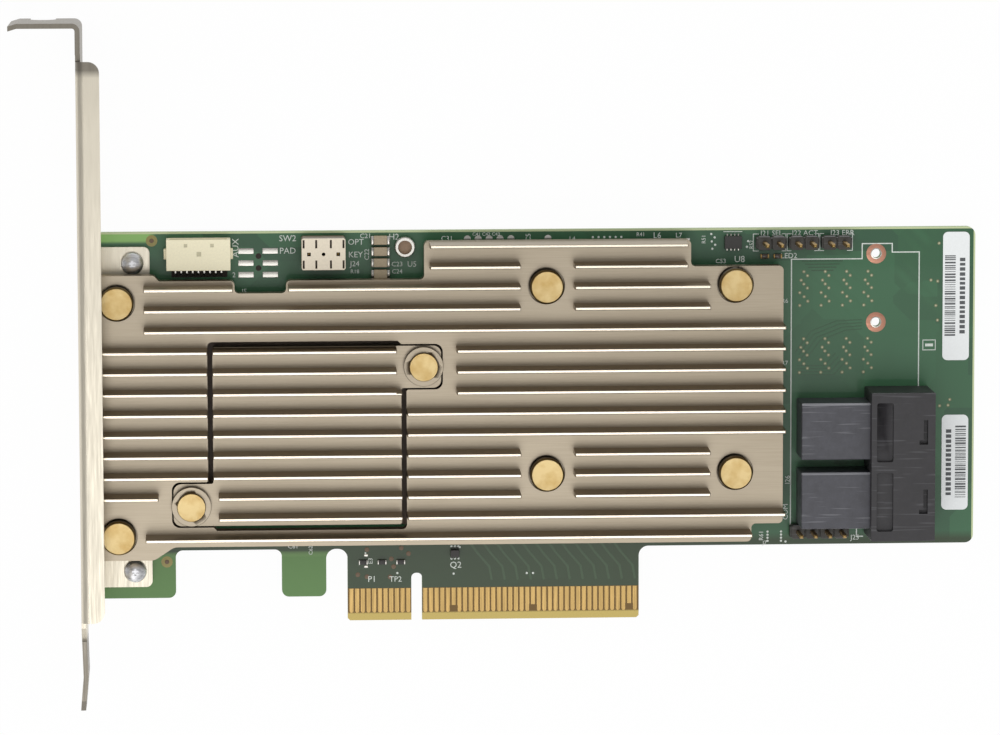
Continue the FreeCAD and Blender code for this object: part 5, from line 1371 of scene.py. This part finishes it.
    def traces(self) -> None:
        """Lay the raised traces that run out of the data port and down to the fingers."""
        lines: list[Piece] = []
        for step in range(4):
            off = 0.55 * step
            lines += self.chain([(66.8 + off, 47.0 - off), (69.5 + off, 50.6 - off), (74.0 + off, 52.4 - off),
                                 (78.5, 52.6 - off)], 0.16, 0.02)
            lines += self.chain([(67.2, 42.9 + off), (73.6 - off, 42.9 + off),
                                 (75.5 - off, 45.0 + off)], 0.16, 0.02)
            lines += self.chain([(68.0 + off, 63.0 - off), (75.0 - off, 63.0 - off)], 0.22, 0.02)
        dress(joined(lines, "masked_traces"), TRACE_MASK, "board")
        lines = []
        for step in range(12):
            x = 9.6 + 2.3 * step
            lines += self.chain([(x, 13.4), (x + 1.0, 12.0), (x + 3.2, 9.4), (x + 3.6, 7.2)], 0.4, 0.02)
        dress(joined(lines, "tongue_traces"), TONGUE_MASK, "board")


@dataclass
class Labels:
    """Two polyester stickers with printed bars that spell nothing."""

    thick: float = 0.02
    seed: int = 12

    def build(self) -> None:
        """Finish the stickers and print a ladder of bars and a row of blocks on each."""
        chance = random.Random(self.seed)
        bars = []
        for node, share, side in (("upper_label", 0.62, 0), ("lower_label", 0.74, 1)):
            dress_node(node, LABEL_FILM)
            low, high = span(node)
            length = (high.y - low.y) * share
            start = (low.y + high.y - length) / 2
            left = low.x + (0.35 if side == 0 else 2.4)
            y = start
            while y < start + length:
                wide = chance.choice((0.11, 0.11, 0.2, 0.3))
                bars.append(self.bar(left, left + 1.9, y, y + wide, high.z))
                y += wide + chance.choice((0.13, 0.18, 0.28))
            words = low.x + (3.0 if side == 0 else 0.75)
            y = start + 0.4
            while y < start + length - 0.6:
                wide = chance.choice((0.5, 0.62, 0.62))
                bars.append(self.bar(words, words + 0.95, y, y + wide, high.z))
                y += wide + 0.28
        dress(joined(bars, "label_print"), LABEL_INK)

    def bar(self, left: float, right: float, low: float, high: float, base: float) -> Piece:
        """Print one bar with softened edges."""
        piece = box("bar", (left, low, base), (right, high, base + self.thick))
        edit_faces(piece, lambda centre, normal: normal.z > 0.9)
        bpy.ops.transform.resize(value=(0.99, 0.94, 1))
        leave_edit()
        return piece


@dataclass
class Studio:
    """Pale floor, soft light and the camera; lamps, stand and floor width are in metres."""

    floor_z: float = -4.12
    floor_wide: float = 4.0
    floor_glow: float = 0.97
    room_light: float = 0.8
    room_in_mirrors: float = 0.46
    lamp_aim: tuple[float, float, float] = (0.01, 0.04, 0.0)
    lens: float = 188.76
    sensor: float = 36.0
    stand: tuple[float, float, float] = (-0.034624, 0.151347, 0.912190)
    tilt: tuple[float, float, float] = (-0.116138, -0.054351, -0.002177)

    def build(self) -> None:
        """Set the floor, the lamps, the world and the camera."""
        self.floor()
        self.lamps()
        self.world()
        self.camera()

    def floor(self) -> None:
        """Lay a wide pale sheet that camera and mirrors see as nearly white; it keeps the shadow."""
        clear()
        bpy.ops.mesh.primitive_grid_add(x_subdivisions=4, y_subdivisions=4, size=self.floor_wide,
                                        location=(0, 0, self.floor_z * MM))
        sheet = settle(bpy.context.object)
        sheet.name = "studio_floor"
        paper = bpy.data.materials.new("matt_white_paper")
        paper.use_nodes = True
        tree = paper.node_tree
        shader = tree.nodes["Principled BSDF"]
        shader.inputs["Base Color"].default_value = linear("#F2F2F2")
        shader.inputs["Roughness"].default_value = 0.95
        glow = add_node(tree, "Emission", {"Color": (1, 1, 1, 1), "Strength": 1.0})
        path = add_node(tree, "LightPath")
        seen = add_node(tree, "Math", {"operation": "MAXIMUM"},
                        {0: path.outputs["Is Camera Ray"], 1: path.outputs["Is Glossy Ray"]})
        seen = add_node(tree, "Math", {"operation": "MAXIMUM"},
                        {0: seen, 1: path.outputs["Is Transmission Ray"]})
        share = add_node(tree, "Math", {"operation": "MULTIPLY", 1: self.floor_glow}, {0: seen})
        mix = add_node(tree, "MixShader", links={0: share, 1: shader, 2: glow})
        tree.links.new(mix.outputs[0], tree.nodes["Material Output"].inputs["Surface"])
        sheet.data.materials.append(paper)

    def lamps(self) -> None:
        """Hang a broad key lamp low in front and a fill above."""
        for name, place, size, power in (("overhead_panel", (0.0, -0.27, 0.95), 0.5, 1.5),
                                         ("front_softbox", (-0.35, -0.85, 0.55), 0.6, 2.2)):
            clear()
            bpy.ops.object.light_add(type="AREA", location=place)
            lamp = bpy.context.object
            lamp.name = name
            lamp.data.shape = "SQUARE"
            lamp.data.size = size
            lamp.data.energy = power
            lamp.rotation_euler = (Vector(place) - Vector(self.lamp_aim)).to_track_quat("Z", "Y").to_euler()

    def world(self) -> None:
        """Fill the room with even light, and show the camera and the mirrors a white one."""
        world = bpy.data.worlds.new("white_room")
        bpy.context.scene.world = world
        world.use_nodes = True
        tree = world.node_tree
        light = tree.nodes["Background"]
        light.inputs["Color"].default_value = (1, 1, 1, 1)
        light.inputs["Strength"].default_value = self.room_light
        white = add_node(tree, "Background", {"Color": (1, 1, 1, 1), "Strength": 1.0})
        path = add_node(tree, "LightPath")
        seen = add_node(tree, "Math", {"operation": "MAXIMUM"},
                        {0: path.outputs["Is Camera Ray"], 1: path.outputs["Is Transmission Ray"]})
        dim = add_node(tree, "Background", {"Color": (1, 1, 1, 1), "Strength": self.room_in_mirrors})
        room = add_node(tree, "MixShader",
                        links={0: path.outputs["Is Glossy Ray"], 1: light, 2: dim})
        mix = add_node(tree, "MixShader",
                       links={0: seen, 1: room, 2: white})
        tree.links.new(mix.outputs[0], tree.nodes["World Output"].inputs["Surface"])

    def camera(self) -> None:
        """Stand the camera nearly overhead with a long lens."""
        clear()
        bpy.ops.object.camera_add(location=self.stand, rotation=self.tilt)
        camera = bpy.context.object
        camera.name = "camera"
        camera.data.lens = self.lens
        camera.data.sensor_width = self.sensor
        camera.data.clip_start = 0.01
        camera.data.clip_end = 20.0
        bpy.context.scene.camera = camera
        bpy.context.scene.view_settings.view_transform = "Standard"


def main() -> None:
    """Build every sub-assembly in order."""
    logging.basicConfig(level=logging.INFO, format="%(message)s")
    dress_node("circuit_board", MASK)
    dress_node("edge_contacts", GOLD)
    for assembly in (Heatsinks(), PushPins("main_heatsink", 5.45, 5.9),
                     PushPins("controller_heatsink", 4.9, 5.0, 6.9), Bracket(),
                     PinHeaders(), DataPort(), BackupSocket(), SmallParts(), Artwork(), Labels(), Studio()):
        log.info("building %s", type(assembly).__name__)
        assembly.build()


if __name__ == "__main__":
    main()
